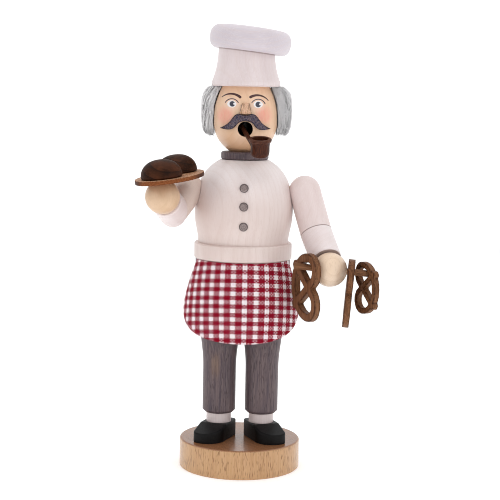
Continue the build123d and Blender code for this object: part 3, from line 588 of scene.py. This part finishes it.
cut = put(tree, "Attribute", attribute_name="cut").outputs["Vector"]
cut = swayed(cut, cut, 160.0, 0.00022)
axes = parts_of(cut)
warp, warp_red, warp_round = threads(axes[0], warp_start, warp_pitch, red_warps, white_warps)
weft, weft_red, weft_round = threads(axes[1], weft_start, weft_pitch, red_wefts, white_wefts)
parity = calc("DIVIDE", calc("ADD", warp, weft), 2.0)
warp_up = calc("GREATER_THAN", calc("FRACT", parity), 0.25)
weft_up = calc("SUBTRACT", 1.0, warp_up)
red = calc("ADD", times(warp_up, warp_red), times(weft_up, weft_red))
some_red = calc("MAXIMUM", warp_red, weft_red)
fade = cloudy(cut, 900.0)
white_yarn = mix(some_red, mix(fade, white_dark, white_light), white_in_red)
yarn = mix(red, white_yarn, mix(fade, red_dark, red_light))
relief = times(warp_round, weft_round)
# Painted shade darkens the gaps between the threads, most where red yarn is.
between = times(spread(relief, 0.5, 0.1, 0.0, 0.5),
               spread(some_red, 0.0, 1.0, 0.2, 1.0))
colour_in(shader, mix(between, yarn, red_gap_shade))
raise_relief(shader, relief, 0.00003, 0.15)
apron = add_piece("apron_cloth", apron_mesh(), "lower_body", "gingham_cotton", apron_finish, "apron")
cloth = apron.modifiers.new("cloth", "SOLIDIFY")
cloth.thickness = cloth_thickness
cloth.offset = 0.0

# Jacket: the hollow turned upper body and the two arms, each sawn and mitred at the elbow, all in white
# glaze on lime wood. The smoke chamber inside, bare on the real figure, carries the same glaze here.
jacket_tint, jacket_shade = (0.86, 0.78, 0.775), (0.78, 0.68, 0.665)
# Heights over which the jacket darkens and warms towards the bottom as painted shade.
jacket_low_shade_heights = (0.122, 0.152)
sleeve_shading = (0.91, 0.87, 0.86)
elbow_shade_width, cuff_shade_width = 0.00032, 0.00012
upper_way, lower_way = Vector((5.9, -4.0, -20.0)).normalized(), Vector((5.9, -20.5, -15.3)).normalized()


def far_face(node, normal):
    """The flat face at a node's far end along a direction: its unit normal and its distance."""
    normal = Vector(normal).normalized()
    return normal, max(vertex.co.dot(normal) for vertex in nodes[node].data.vertices)


# Thin lines of painted shade at the elbow joint and at the cuff.
elbow = (far_face("upper_sleeve_left", upper_way + lower_way), elbow_shade_width)
cuff = (far_face("forearm_left", lower_way), cuff_shade_width)
# Each sleeve has its own tint as painted light and shade; the right upper sleeve is darker and warmer as
# painted shadow under the tray.
sleeves_lit_and_shaded = {"upper_sleeve_right": ((0.9, 0.5, 0.0), (0.72, 0.59, 0.52), []),
           "forearm_right": ((1.2, 0.2, 0.0), (0.83, 0.735, 0.725), []),
           "upper_sleeve_left": ((0.2, -0.28, 0.0), (0.80, 0.68, 0.665), [elbow]),
           "forearm_left": ((-0.93, -0.2, 0.0), (0.83, 0.745, 0.745), [elbow, cuff])}
dress(white_glaze("jacket_glaze", jacket_tint, jacket_shade, low_shade=jacket_low_shade_heights), "jacket_body")
for sleeve, (turn, tint, joint_shades) in sleeves_lit_and_shaded.items():
    shade = [share * part for share, part in zip(sleeve_shading, tint)]
    dress(white_glaze(sleeve + "_glaze", tint, shade, turn=turn, joint_shades=joint_shades), sleeve)

# Buttons: three small turned discs with a dished face, glued into seats in the jacket, in grey stain that is
# darker round the rims.
button_dark, button_pale, button_rim = (0.17, 0.13, 0.125), (0.37, 0.30, 0.29), (0.075, 0.055, 0.055)
button_names = ("button_top", "button_middle", "button_bottom")


def middle_of(node):
    low, high = (Vector(corner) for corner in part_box(node))
    return (low + high) / 2


button_finish, tree, shader = new_material("button_grey", roughness=0.35, Specular_IOR_Level=0.35)
place = object_place(tree)
speckle = cloudy(place, 2400.0, 3.0)
tone = mix(spread(speckle, 0.35, 0.65), button_dark, button_pale)
for button in button_names:
    away = scaled(vectors("SUBTRACT", place, middle_of(button)), (1.0, 0.0, 1.0))
    far = length_of(away)
    rim = times(spread(far, 0.00150, 0.00185, 0.0, 0.8, soft=True),
               spread(far, 0.0030, 0.0029))
    tone = mix(rim, tone, button_rim)
colour_in(shader, tone)
raise_relief(shader, speckle, 0.00005)
dress(button_finish, *button_names)

# Collar: a turned ring with rounded edges that sits on the neck between jacket and head, in the trousers'
# grey stain.
dress(grey_stain("collar_stain", shift=(0.02, 0.03, 0.02)), "collar_ring")

# Head: an egg-shaped turning in bare maple under clear lacquer, with the face painted on by brush. The
# open mouth is sooty inside.
maple_light, maple_dark, maple_ring = (0.90, 0.62, 0.43), (0.82, 0.53, 0.34), (0.68, 0.41, 0.23)
maple_fibre, chin_shade_brown, soot_black = (0.80, 0.60, 0.44), (0.50, 0.25, 0.115), (0.012, 0.008, 0.006)
cheek_red, halo_pink, eye_white = (0.86, 0.30, 0.25), (0.87, 0.62, 0.52), (0.88, 0.84, 0.84)
iris_blue, glint_white = (0.02, 0.022, 0.045), (0.86, 0.83, 0.84)
brow_brown, lid_brown = (0.055, 0.010, 0.010), (0.07, 0.04, 0.05)
cheeks = [(-0.0096, 0.1750), (0.0086, 0.1757)]
eyes = [(-0.0067, 0.18086), (0.00601, 0.18086)]
irises = [((-0.00646, 0.18086), (-0.00545, 0.18095)), ((0.00601, 0.18079), (0.0070, 0.1809))]
brows = [((-0.00707, 0.17872), 0.00695, (2.27, 0.90)), ((0.00566, 0.17845), 0.00675, (0.70, 2.10))]
lids = [((-0.0067, 0.17972), 0.0036, (2.62, 0.53)), ((0.00601, 0.17972), 0.0036, (0.42, 2.61))]
cheek_size, halo_size, white_size = (0.0036, 0.0039), (0.0036, 0.0032), (0.00223, 0.00168)
iris_size, glint_size = (0.00132, 0.00132), (0.00055, 0.0005)
brow_widths, lid_widths = (0.0004, 0.0013), (0.00046, 0.00046)
brush_edge = 0.00012
face_front = -0.004
mouth_height, mouth_radius = 0.1689, 0.0035
bore_reach = 0.0046

painted_spot, takes, gives = shader_group(
    "painted spot", {"Place": origin, "Middle": origin, "Half Size": (1.0, 1.0, 1.0),
                     "Edge": 0.1}, ("Paint",))
away = vectors("SUBTRACT", takes["Place"], takes["Middle"])
away = scaled(vectors("DIVIDE", away, takes["Half Size"]), (1.0, 0.0, 1.0))
outer_edge, inner_edge = calc("ADD", 1.0, takes["Edge"]), calc("SUBTRACT", 1.0, takes["Edge"])
painted_spot.links.new(spread(length_of(away), outer_edge, inner_edge, soft=True), gives["Paint"])

painted_stroke, takes, gives = shader_group(
    "painted stroke", {"Place": origin, "Middle": origin, "Radius": 1.0, "From Turn": 0.0,
                       "To Turn": 1.0, "From Width": 1.0, "To Width": 1.0}, ("Paint",))
away = vectors("SUBTRACT", takes["Place"], takes["Middle"])
ends = parts_of(away)
turn = calc("ARCTAN2", ends[2], ends[0])
far = length_of(scaled(away, (1.0, 0.0, 1.0)))
stroke_turns = {0: turn, 1: takes["From Turn"], 2: takes["To Turn"]}
share = fed("MapRange", stroke_turns, clamp=False).outputs[0]
held = calc("ADD", share, 0.0, clamp=True)
half = times(0.5, spread(held, 0.0, 1.0, takes["From Width"], takes["To Width"]))
sweep = calc("ABSOLUTE", calc("SUBTRACT", takes["To Turn"], takes["From Turn"]))
beyond = times(calc("ABSOLUTE", calc("SUBTRACT", share, held)),
              times(takes["Radius"], sweep))
off = calc("SUBTRACT", far, takes["Radius"])
off, beyond = (times(distance, distance) for distance in (off, beyond))
off = calc("SQRT", calc("ADD", off, beyond))
edge = calc("DIVIDE", calc("SUBTRACT", half, off), brush_edge)
painted_stroke.links.new(calc("ADD", edge, 0.5, clamp=True), gives["Paint"])

head_finish, tree, shader = new_material("maple_face", roughness=0.36, Coat_Weight=0.25, Coat_Roughness=0.2)
place = object_place(tree)
front = calc("LESS_THAN", parts_of(place)[1], face_front)


def spot(middle, half_size, edge):
    inputs = {"Place": place, "Middle": (middle[0], 0.0, middle[1]),
              "Half Size": (half_size[0], 1.0, half_size[1]), "Edge": edge}
    return place_group(painted_spot, inputs)["Paint"]


def stroke(middle, radius, turns, widths):
    inputs = {"Place": place, "Middle": (middle[0], 0.0, middle[1]), "Radius": radius, "From Turn": turns[0],
              "To Turn": turns[1], "From Width": widths[0], "To Width": widths[1]}
    return place_group(painted_stroke, inputs)["Paint"]


def brushed(tone, paint, colour):
    """Lays paint over a tone on the front of the head only."""
    return mix(times(paint, front), tone, colour)


wood = grain_of(place, (0.045, 0.03, 0.0), ring_width=0.0024, wander=0.003)
tone = mix(spread(wood["Clouds"], 0.3, 0.7), maple_light, maple_dark)
tone = tinge(tone, wood["Rings"], 0.3, maple_ring)
tone = mix(spread(wood["Fibres"], 0.45, 0.7, 0.0, 0.3), tone, maple_fibre)
# The chin is darkened towards the bottom as painted shade.
chin_shade = spread(parts_of(place)[2], 0.1690, 0.1585, 0.0, 0.62, soft=True)
tone = mix(chin_shade, tone, chin_shade_brown)
brush_grain = cloudy(scaled(place, (1.0, 1.0, 0.25)), 1400.0, 3.0)
brush_grain = spread(brush_grain, 0.3, 0.7, 0.36, 0.72)
for cheek in cheeks:
    tone = brushed(tone, times(spot(cheek, cheek_size, edge=0.6), brush_grain), cheek_red)
for eye in eyes:
    tone = brushed(tone, times(spot(eye, halo_size, edge=0.35), 0.45), halo_pink)
    tone = brushed(tone, spot(eye, white_size, edge=0.08), eye_white)
for iris, glint in irises:
    tone = brushed(tone, spot(iris, iris_size, edge=0.12), iris_blue)
    tone = brushed(tone, spot(glint, glint_size, edge=0.25), glint_white)
for middle, radius, turns in brows:
    tone = brushed(tone, stroke(middle, radius, turns, brow_widths), brow_brown)
for middle, radius, turns in lids:
    tone = brushed(tone, stroke(middle, radius, turns, lid_widths), lid_brown)
from_mouth = scaled(vectors("SUBTRACT", place, (0.0, 0.0, mouth_height)), (1.0, 0.0, 1.0))
mouth_soot = spread(length_of(from_mouth), mouth_radius + 0.00022, mouth_radius + 0.00002)
in_mouth = times(mouth_soot, front)
from_axis = length_of(scaled(place, (1.0, 1.0, 0.0)))
in_bore = spread(from_axis, bore_reach, bore_reach - 0.0005)
colour_in(shader, mix(calc("MAXIMUM", in_mouth, in_bore), tone, soot_black))
raise_relief(shader, wood["Fibres"], 0.00003)
dress(head_finish, "head")

# Nose and moustache: the nose is a small maple wedge glued on, its arrises darker and its sides darkened as
# painted shade. The moustache is cut from thin wood, stained blue grey, with edges scorched by the saw.
nose_pale, nose_fibre, nose_ring = (0.78, 0.50, 0.33), (0.52, 0.30, 0.17), (0.78, 0.42, 0.33)
nose_arris_dark, nose_grain, nose_side_shade = (0.42, 0.22, 0.10), (0.26, 0.13, 0.06), (0.085, 0.036, 0.016)
hair_blue, hair_grey = (0.016, 0.017, 0.052), (0.17, 0.135, 0.155)
hair_brown, saw_scorch = (0.16, 0.075, 0.06), (0.022, 0.010, 0.011)

nose_finish, tree, shader = new_material("maple_nose", roughness=0.4, Coat_Weight=0.2, Coat_Roughness=0.2)
place = object_place(tree)
wood = grain_of(place, (0.02, 0.0, 0.0), ring_width=0.0011)
tone = mix(spread(wood["Fibres"], 0.35, 0.65), nose_pale, nose_fibre)
tone = tinge(tone, wood["Rings"], 0.5, nose_ring)
tone = mix(wear_of(place, 0.75, 500.0), tone, nose_arris_dark)
lines = cloudy(scaled(place, (1.0, 0.3, 0.06)), 1300.0)
tone = mix(spread(lines, 0.54, 0.64, 0.0, 0.75), tone, nose_grain)
# Painted shade on the faces of the nose that face sideways.
side_shade = spread(calc("ABSOLUTE", surface_facing(tree)[0]), 0.25, 0.6)
colour_in(shader, mix(side_shade, tone, nose_side_shade))
raise_relief(shader, wood["Fibres"], 0.00004)
add_worked("nose_carved", "nose", "upper_body", "bare_maple", nose_finish,
           voxel=0.00016, rounding=4, arris_reach=0.0005)

moustache_finish, tree, shader = new_material("moustache_blue_grey", roughness=0.45, Specular_IOR_Level=0.2)
place = object_place(tree)
speckle = cloudy(place, 1900.0, 3.0, 0.75)
tone = mix(spread(speckle, 0.43, 0.57), hair_blue, hair_grey)
tone = mix(spread(cloudy(place, 1300.0, 1.0), 0.56, 0.66, 0.0, 0.6), tone, hair_brown)
colour_in(shader, mix(wear_of(place, 1.5, 700.0), tone, saw_scorch))
raise_relief(shader, speckle, 0.00006)
add_worked("moustache_carved", "moustache", "upper_body", "smoked_edge_wood", moustache_finish,
           voxel=0.00018, rounding=3, arris_reach=0.0007)

# Hair: a strip of soft grey fur glued from temple to temple round the back of the head, tucked under the
# hat and combed down and outwards.
head_sides = [(0.0074, 0.1576), (0.01085, 0.1605), (0.01314, 0.1634), (0.01469, 0.1668), (0.0155, 0.1709),
              (0.01547, 0.1744), (0.0149, 0.18), (0.01359, 0.1845), (0.01159, 0.1893)]
fur_sides = [(0.0186, 0.1650), (0.0202, 0.1668), (0.0212, 0.1700), (0.0216, 0.1740), (0.0216, 0.1790),
             (0.0214, 0.1830), (0.0206, 0.1868), (0.0188, 0.1896)]
strip_foot, strip_width, backing_top = 0.1690, 0.0207, 0.1889
backing_share, glue_line = 0.66, 0.0004
backing_half_turn, front_from, strip_half_turn = math.radians(88), math.radians(84), math.radians(98)
hair_lengths, hair_girths = (0.0045, 0.0105), (0.00013, 0.00018)
ground_dark, ground_light = (0.80, 0.77, 0.78), (0.90, 0.87, 0.88)
hair_dark, hair_light = (0.86, 0.84, 0.85), (0.99, 0.98, 0.985)


def read_off(sides, height):
    """The radius of a side at a height or heights, between its points."""
    return np.interp(height, [z for _, z in sides], [r for r, _ in sides])


def fur_backing_mesh(turns=96, rings=26):
    """The short dense fur under the long hairs, as a closed strip round the head."""
    vertices, faces = [], []
    heights = [strip_foot + (backing_top - strip_foot) * i / rings for i in range(rings + 1)]
    outer = [(read_off(head_sides, z) + (read_off(fur_sides, z) - read_off(head_sides, z)) * backing_share, z)
             for z in heights]
    inner = [(read_off(head_sides, z) + glue_line, z) for z in heights[::-1]]
    loop = outer + inner
    for turn in range(turns + 1):
        angle = -backing_half_turn + 2 * backing_half_turn * turn / turns
        for radius, z in loop:
            tuft = 0.0004 * noise.noise(Vector((angle * 9, z * 600, 2.0)))
            reach = radius + (tuft if radius > read_off(head_sides, z) + 0.0008 else 0.0)
            vertices.append((reach * math.sin(angle), reach * math.cos(angle), z))
    count = len(loop)
    for turn in range(turns):
        for step in range(count):
            first, second = turn * count + step, turn * count + (step + 1) % count
            faces.append((first, second, second + count, first + count))
    faces.append(tuple(range(count))[::-1])
    faces.append(tuple(turns * count + i for i in range(count)))
    mesh = bpy.data.meshes.new("fur_backing")
    mesh.from_pydata(vertices, [], faces)
    return smooth_shaded(mesh)


def fur_strands_mesh(strand_count=12500, front_count=3600, clump_count=340, joints=6):
    """Tapered hairs in clumps; the last ones in the list cover the two front edges of the strip. They are
    shaded as the strip's own soft surface is, more than as single rods."""
    draw = np.random.default_rng(11)
    half = strip_half_turn
    clump_angle = draw.uniform(-half, half, clump_count)
    clump_height = draw.uniform(0.1672, 0.1905, clump_count)
    clump_layer = draw.uniform(0.82, 1.0, clump_count)
    clump_lean = draw.normal(0, 0.06, clump_count)
    angle = draw.uniform(-half, half, strand_count)
    front = slice(strand_count - front_count, strand_count)
    angle[front] = np.sign(angle[front]) * draw.uniform(front_from, half, front_count)
    root_height = strip_foot + strip_width * draw.random(strand_count) ** 0.8
    apart = np.hypot((angle[:, None] - clump_angle) * 0.018, root_height[:, None] - clump_height)
    clump = apart.argmin(axis=1)
    layer = np.clip(clump_layer[clump] * draw.uniform(0.90, 1.04, strand_count), 0.5, 1.02)
    layer[front] = draw.uniform(0.12, 1.03, front_count)
    root_share = np.full(strand_count, 0.6)
    root_share[front] = layer[front] * draw.uniform(0.72, 0.90, front_count)
    length = draw.uniform(*hair_lengths, strand_count)
    tip_angle = angle + (clump_angle[clump] - angle) * 0.4 + clump_lean[clump]
    tip_angle = np.clip(tip_angle + draw.normal(0, 0.03, strand_count), -half, half)
    foot = 0.1662 + 0.0008 * np.sin(angle * 7.0) - 0.0014 * (np.abs(angle + 1.35) < 0.3)
    tip_height = np.maximum(root_height - length, foot + draw.uniform(0.0, 0.0016, strand_count))
    tone = draw.random(strand_count)
    girth = draw.uniform(*hair_girths, strand_count)
    girth[front] *= 1.2
    along = np.linspace(0.0, 1.0, joints)
    z = root_height[:, None] + (tip_height - root_height)[:, None] * along ** 1.15
    at = angle[:, None] + (tip_angle - angle)[:, None] * along
    inside = read_off(head_sides, z)
    bulk = (read_off(fur_sides, z) - inside) * (1 + 0.16 * np.maximum(0.0, np.sin(at)))
    share = root_share[:, None] + (layer - root_share)[:, None] * (1 - (1 - along) ** 2.2)
    radius = inside + bulk * share + 0.0002 * np.sin(along * 5 + tone[:, None] * 9)
    centres = np.stack([radius * np.sin(at), radius * np.cos(at), z], axis=2)
    following = np.gradient(centres, axis=1)
    sideways = np.cross(following, centres * (1, 1, 0))
    sideways /= np.linalg.norm(sideways, axis=2, keepdims=True)
    outwards = np.cross(sideways, following)
    outwards /= np.linalg.norm(outwards, axis=2, keepdims=True)
    thickness = (girth[:, None] * (1.0 - 0.85 * along ** 1.6))[:, :, None]
    corners = np.stack([centres + (sideways * math.cos(turn) + outwards * math.sin(turn)) * thickness
                        for turn in (0.0, 2 * math.pi / 3, 4 * math.pi / 3)], axis=2)
    ring = np.array([(corner, corner + 3, (corner + 1) % 3 + 3, (corner + 1) % 3) for corner in range(3)])
    strand = np.concatenate([ring + 3 * joint for joint in range(joints - 1)])
    faces = (strand[None] + 3 * joints * np.arange(strand_count)[:, None, None]).reshape(-1, 4)
    mesh = bpy.data.meshes.new("fur_strands")
    mesh.from_pydata(corners.reshape(-1, 3).tolist(), [], faces.tolist())
    mesh.attributes.new("strand_tone", "FLOAT", "POINT").data.foreach_set(
        "value", np.repeat(tone, 3 * joints).astype(np.float32))
    smooth_shaded(mesh)
    facing = centres * (1, 1, 0) / np.linalg.norm(centres[:, :, :2], axis=2, keepdims=True)
    facing += (0.0, 0.0, 0.25)
    facing[front] += (0.0, -1.1, 0.0)
    facing = np.repeat(facing[:, :, None, :], 3, axis=2) * 1.2 + (corners - centres[:, :, None, :]) * 2500.0
    facing = facing.reshape(-1, 3)
    facing /= np.linalg.norm(facing, axis=1, keepdims=True)
    mesh.normals_split_custom_set_from_vertices(facing.tolist())
    return mesh


def grey_fur(name, dark, light, roughness):
    """Fur from dark to light by single hairs and by soft patches."""
    material, tree, shader = new_material(name, roughness=roughness, Sheen_Weight=0.3, Sheen_Roughness=0.4)
    place = object_place(tree)
    strand_tone = put(tree, "Attribute", attribute_name="strand_tone").outputs["Fac"]
    patches = cloudy(place, 260.0)
    share = calc("ADD", times(strand_tone, 0.4), times(patches, 0.7))
    colour_in(shader, mix(share, dark, light))
    raise_relief(shader, cloudy(scaled(place, (1.0, 1.0, 0.15)), 1800.0), 0.0001)
    return material


add_piece("fur_backing", fur_backing_mesh(), "upper_body", "grey_fur",
          grey_fur("fur_ground", ground_dark, ground_light, 0.9))
add_piece("fur_strands", fur_strands_mesh(), "upper_body", "grey_fur",
          grey_fur("fur_hairs", hair_dark, hair_light, 0.6), "fur_hair")

# Hat: a turned band, flared at the brim and sawn at a slant on top, and the puffed crown pegged on it.
# Both carry the white glaze, and the crown's grain lies across.
crown_tilt = math.radians(6.4)
crown_shade_width = 0.0013
band_tint, band_shade = (0.80, 0.70, 0.705), (0.74, 0.63, 0.63)
crown_tint, crown_shade = (0.66, 0.60, 0.655), (0.62, 0.555, 0.605)
# A thin line of painted shade where the crown sits on the band.
crown_joint_shade = (far_face("hat_band", (math.sin(crown_tilt), 0.0, math.cos(crown_tilt))), crown_shade_width)
dress(white_glaze("hat_band_glaze", band_tint, band_shade, shift=(0.02, 0.01, 0.0), joint_shades=[crown_joint_shade]),
      "hat_band")
dress(white_glaze("hat_crown_glaze", crown_tint, crown_shade, turn=(0.0, math.radians(90), 0.0)), "hat_crown")

# Pipe: a turned bowl with a flared rim, bored, and a thin stem into the mouth, in dark brown stain with a
# dull shine.
pipe_dark, pipe_fibre = (0.036, 0.0085, 0.0038), (0.095, 0.026, 0.011)
pipe_ring, pipe_worn = (0.03, 0.011, 0.008), (0.19, 0.085, 0.055)
pipe_finish, tree, shader = new_material("pipe_brown", roughness=0.36, Specular_IOR_Level=0.15)
place = object_place(tree)
wood = grain_of(place, (0.03, 0.0, 0.0), ring_width=0.0012)
tone = mix(spread(wood["Fibres"], 0.35, 0.7), pipe_dark, pipe_fibre)
tone = tinge(tone, wood["Rings"], 0.4, pipe_ring)
colour_in(shader, mix(wear_of(place, 0.5, 700.0), tone, pipe_worn))
raise_relief(shader, wood["Fibres"], 0.00008, 0.6)
add_worked("pipe_bowl_turned", "pipe_bowl", "upper_body", "dark_brown_wood", pipe_finish,
           voxel=0.00018, rounding=3, arris_reach=0.0006)
dress(pipe_finish, "pipe_stem")

# Hands: turned maple balls, left bare under clear lacquer. The right one carries the tray, the left one
# is bored for the rod.
# The right hand's darker, warmer maple is painted shade.
hands_lit_and_shaded = [("hand_right", (0.012, 0.0, 0.0), (0.76, 0.54, 0.36), (0.62, 0.40, 0.235)),
         ("hand_left", (0.0, 0.018, 0.0), (0.89, 0.71, 0.56), (0.81, 0.61, 0.44))]
hand_ring, hand_fleck = (0.60, 0.40, 0.24), (0.55, 0.36, 0.22)
for hand, shift, light, dark in hands_lit_and_shaded:
    finish, tree, shader = new_material(hand + "_maple", roughness=0.38, Coat_Weight=0.2, Coat_Roughness=0.2)
    place = object_place(tree, (0.3, 0.2, 0.0), shift)
    wood = grain_of(place, (0.05, 0.03, 0.0), ring_width=0.0024, wander=0.003)
    tone = mix(spread(wood["Clouds"], 0.3, 0.7), light, dark)
    tone = tinge(tone, wood["Rings"], 0.3, hand_ring)
    colour_in(shader, tinge(tone, wood["Flecks"], 0.25, hand_fleck))
    raise_relief(shader, wood["Fibres"], 0.00003)
    dress(finish, hand)

# Tray and loaves: an oval board of thin stained wood with a smoked edge, and two turned half balls in
# dark brown stain glued on it.
board_dark, board_light, board_ring = (0.36, 0.175, 0.090), (0.58, 0.34, 0.21), (0.22, 0.09, 0.04)
edge_dark, edge_light = (0.16, 0.044, 0.012), (0.29, 0.098, 0.033)
edge_end_dark, edge_worn = (0.045, 0.012, 0.005), (0.055, 0.02, 0.012)
crust_dark, crust_light = (0.026, 0.0075, 0.0026), (0.075, 0.023, 0.0085)
crust_fibre, crust_ring = (0.085, 0.028, 0.012), (0.007, 0.0024, 0.001)

tray_finish, tree, shader = new_material("tray_brown", roughness=0.5, Specular_IOR_Level=0.1)
place = object_place(tree, turn=(math.radians(90), 0.0, math.radians(20)))
wood = grain_of(place, (0.0, 0.02, 0.0), ring_width=0.0012, wander=0.002)
board = mix(spread(wood["Fibres"], 0.35, 0.7), board_dark, board_light)
board = tinge(board, wood["Rings"], 0.5, board_ring)
off_middle = parts_of(vectors("SUBTRACT", object_place(tree), middle_of("bread_tray")))[0]
# The tray's edge is darker towards its two ends.
darker_ends = spread(calc("ABSOLUTE", off_middle), 0.0105, 0.0150, 0.0, 0.9, soft=True)
edge = mix(spread(wood["Fibres"], 0.35, 0.7), edge_dark, edge_light)
edge = mix(darker_ends, edge, edge_end_dark)
tone = mix(spread(surface_facing(tree)[2], 0.2, 0.6), edge, board)
colour_in(shader, mix(wear_of(place, 0.8, 500.0), tone, edge_worn))
raise_relief(shader, wood["Fibres"], 0.00006, 0.6)
add_worked("tray_board", "bread_tray", "upper_body", "tray_wood", tray_finish,
           voxel=0.00027, rounding=1, arris_reach=0.0004)

loaf_finish, tree, shader = new_material("loaf_brown", roughness=0.55, Specular_IOR_Level=0.10)
place = object_place(tree, turn=(0.0, math.radians(80), 0.0))
wood = grain_of(place, (0.02, 0.01, 0.0), ring_width=0.0034, wander=0.005)
tone = mix(spread(cloudy(place, 180.0, 3.0), 0.35, 0.65), crust_dark, crust_light)
tone = mix(spread(wood["Fibres"], 0.45, 0.7, 0.0, 0.45), tone, crust_fibre)
colour_in(shader, tinge(tone, wood["Rings"], 0.9, crust_ring))
raise_relief(shader, wood["Fibres"], 0.00005, 0.6)
dress(loaf_finish, "loaf_front", "loaf_rear")

# Rod and pretzels: a round rod through the left hand and three pretzels sawn from thin board, stained
# brown, with arrises darkened by the saw. The pretzels hang loose on the rod.
sawn_dark, sawn_light, sawn_ring = (0.085, 0.030, 0.010), (0.26, 0.112, 0.050), (0.085, 0.03, 0.013)
sawn_cloud, sawn_scorch = (0.29, 0.15, 0.08), (0.050, 0.016, 0.0065)
pretzels = [("pretzel_left", origin, origin),
            ("pretzel_middle", (0.2, 0.0, 0.0), (0.01, 0.0, 0.02)),
            ("pretzel_right", (0.0, 0.2, 0.0), (0.02, 0.01, 0.0))]


def brown_board(name, turn, shift):
    material, tree, shader = new_material(name, roughness=0.5, Specular_IOR_Level=0.14)
    place = object_place(tree, turn, shift)
    wood = grain_of(place, (0.01, 0.02, 0.0), ring_width=0.0011, wander=0.002)
    tone = mix(spread(wood["Fibres"], 0.35, 0.68), sawn_dark, sawn_light)
    tone = tinge(tone, wood["Rings"], 0.45, sawn_ring)
    tone = mix(spread(wood["Clouds"], 0.35, 0.65, 0.0, 0.3), tone, sawn_cloud)
    colour_in(shader, mix(wear_of(place, 1.4, 600.0), tone, sawn_scorch))
    raise_relief(shader, wood["Fibres"], 0.00008, 0.7)
    return material


for pretzel, turn, shift in pretzels:
    finish = brown_board(pretzel + "_brown", turn, shift)
    add_worked(pretzel + "_sawn", pretzel, pretzel, "pretzel_wood", finish,
               voxel=0.00026, rounding=5, arris_reach=0.0009, waviness=0.00008)
dress(brown_board("rod_brown", (0.0, math.radians(90), 0.0), origin), "pretzel_rod")
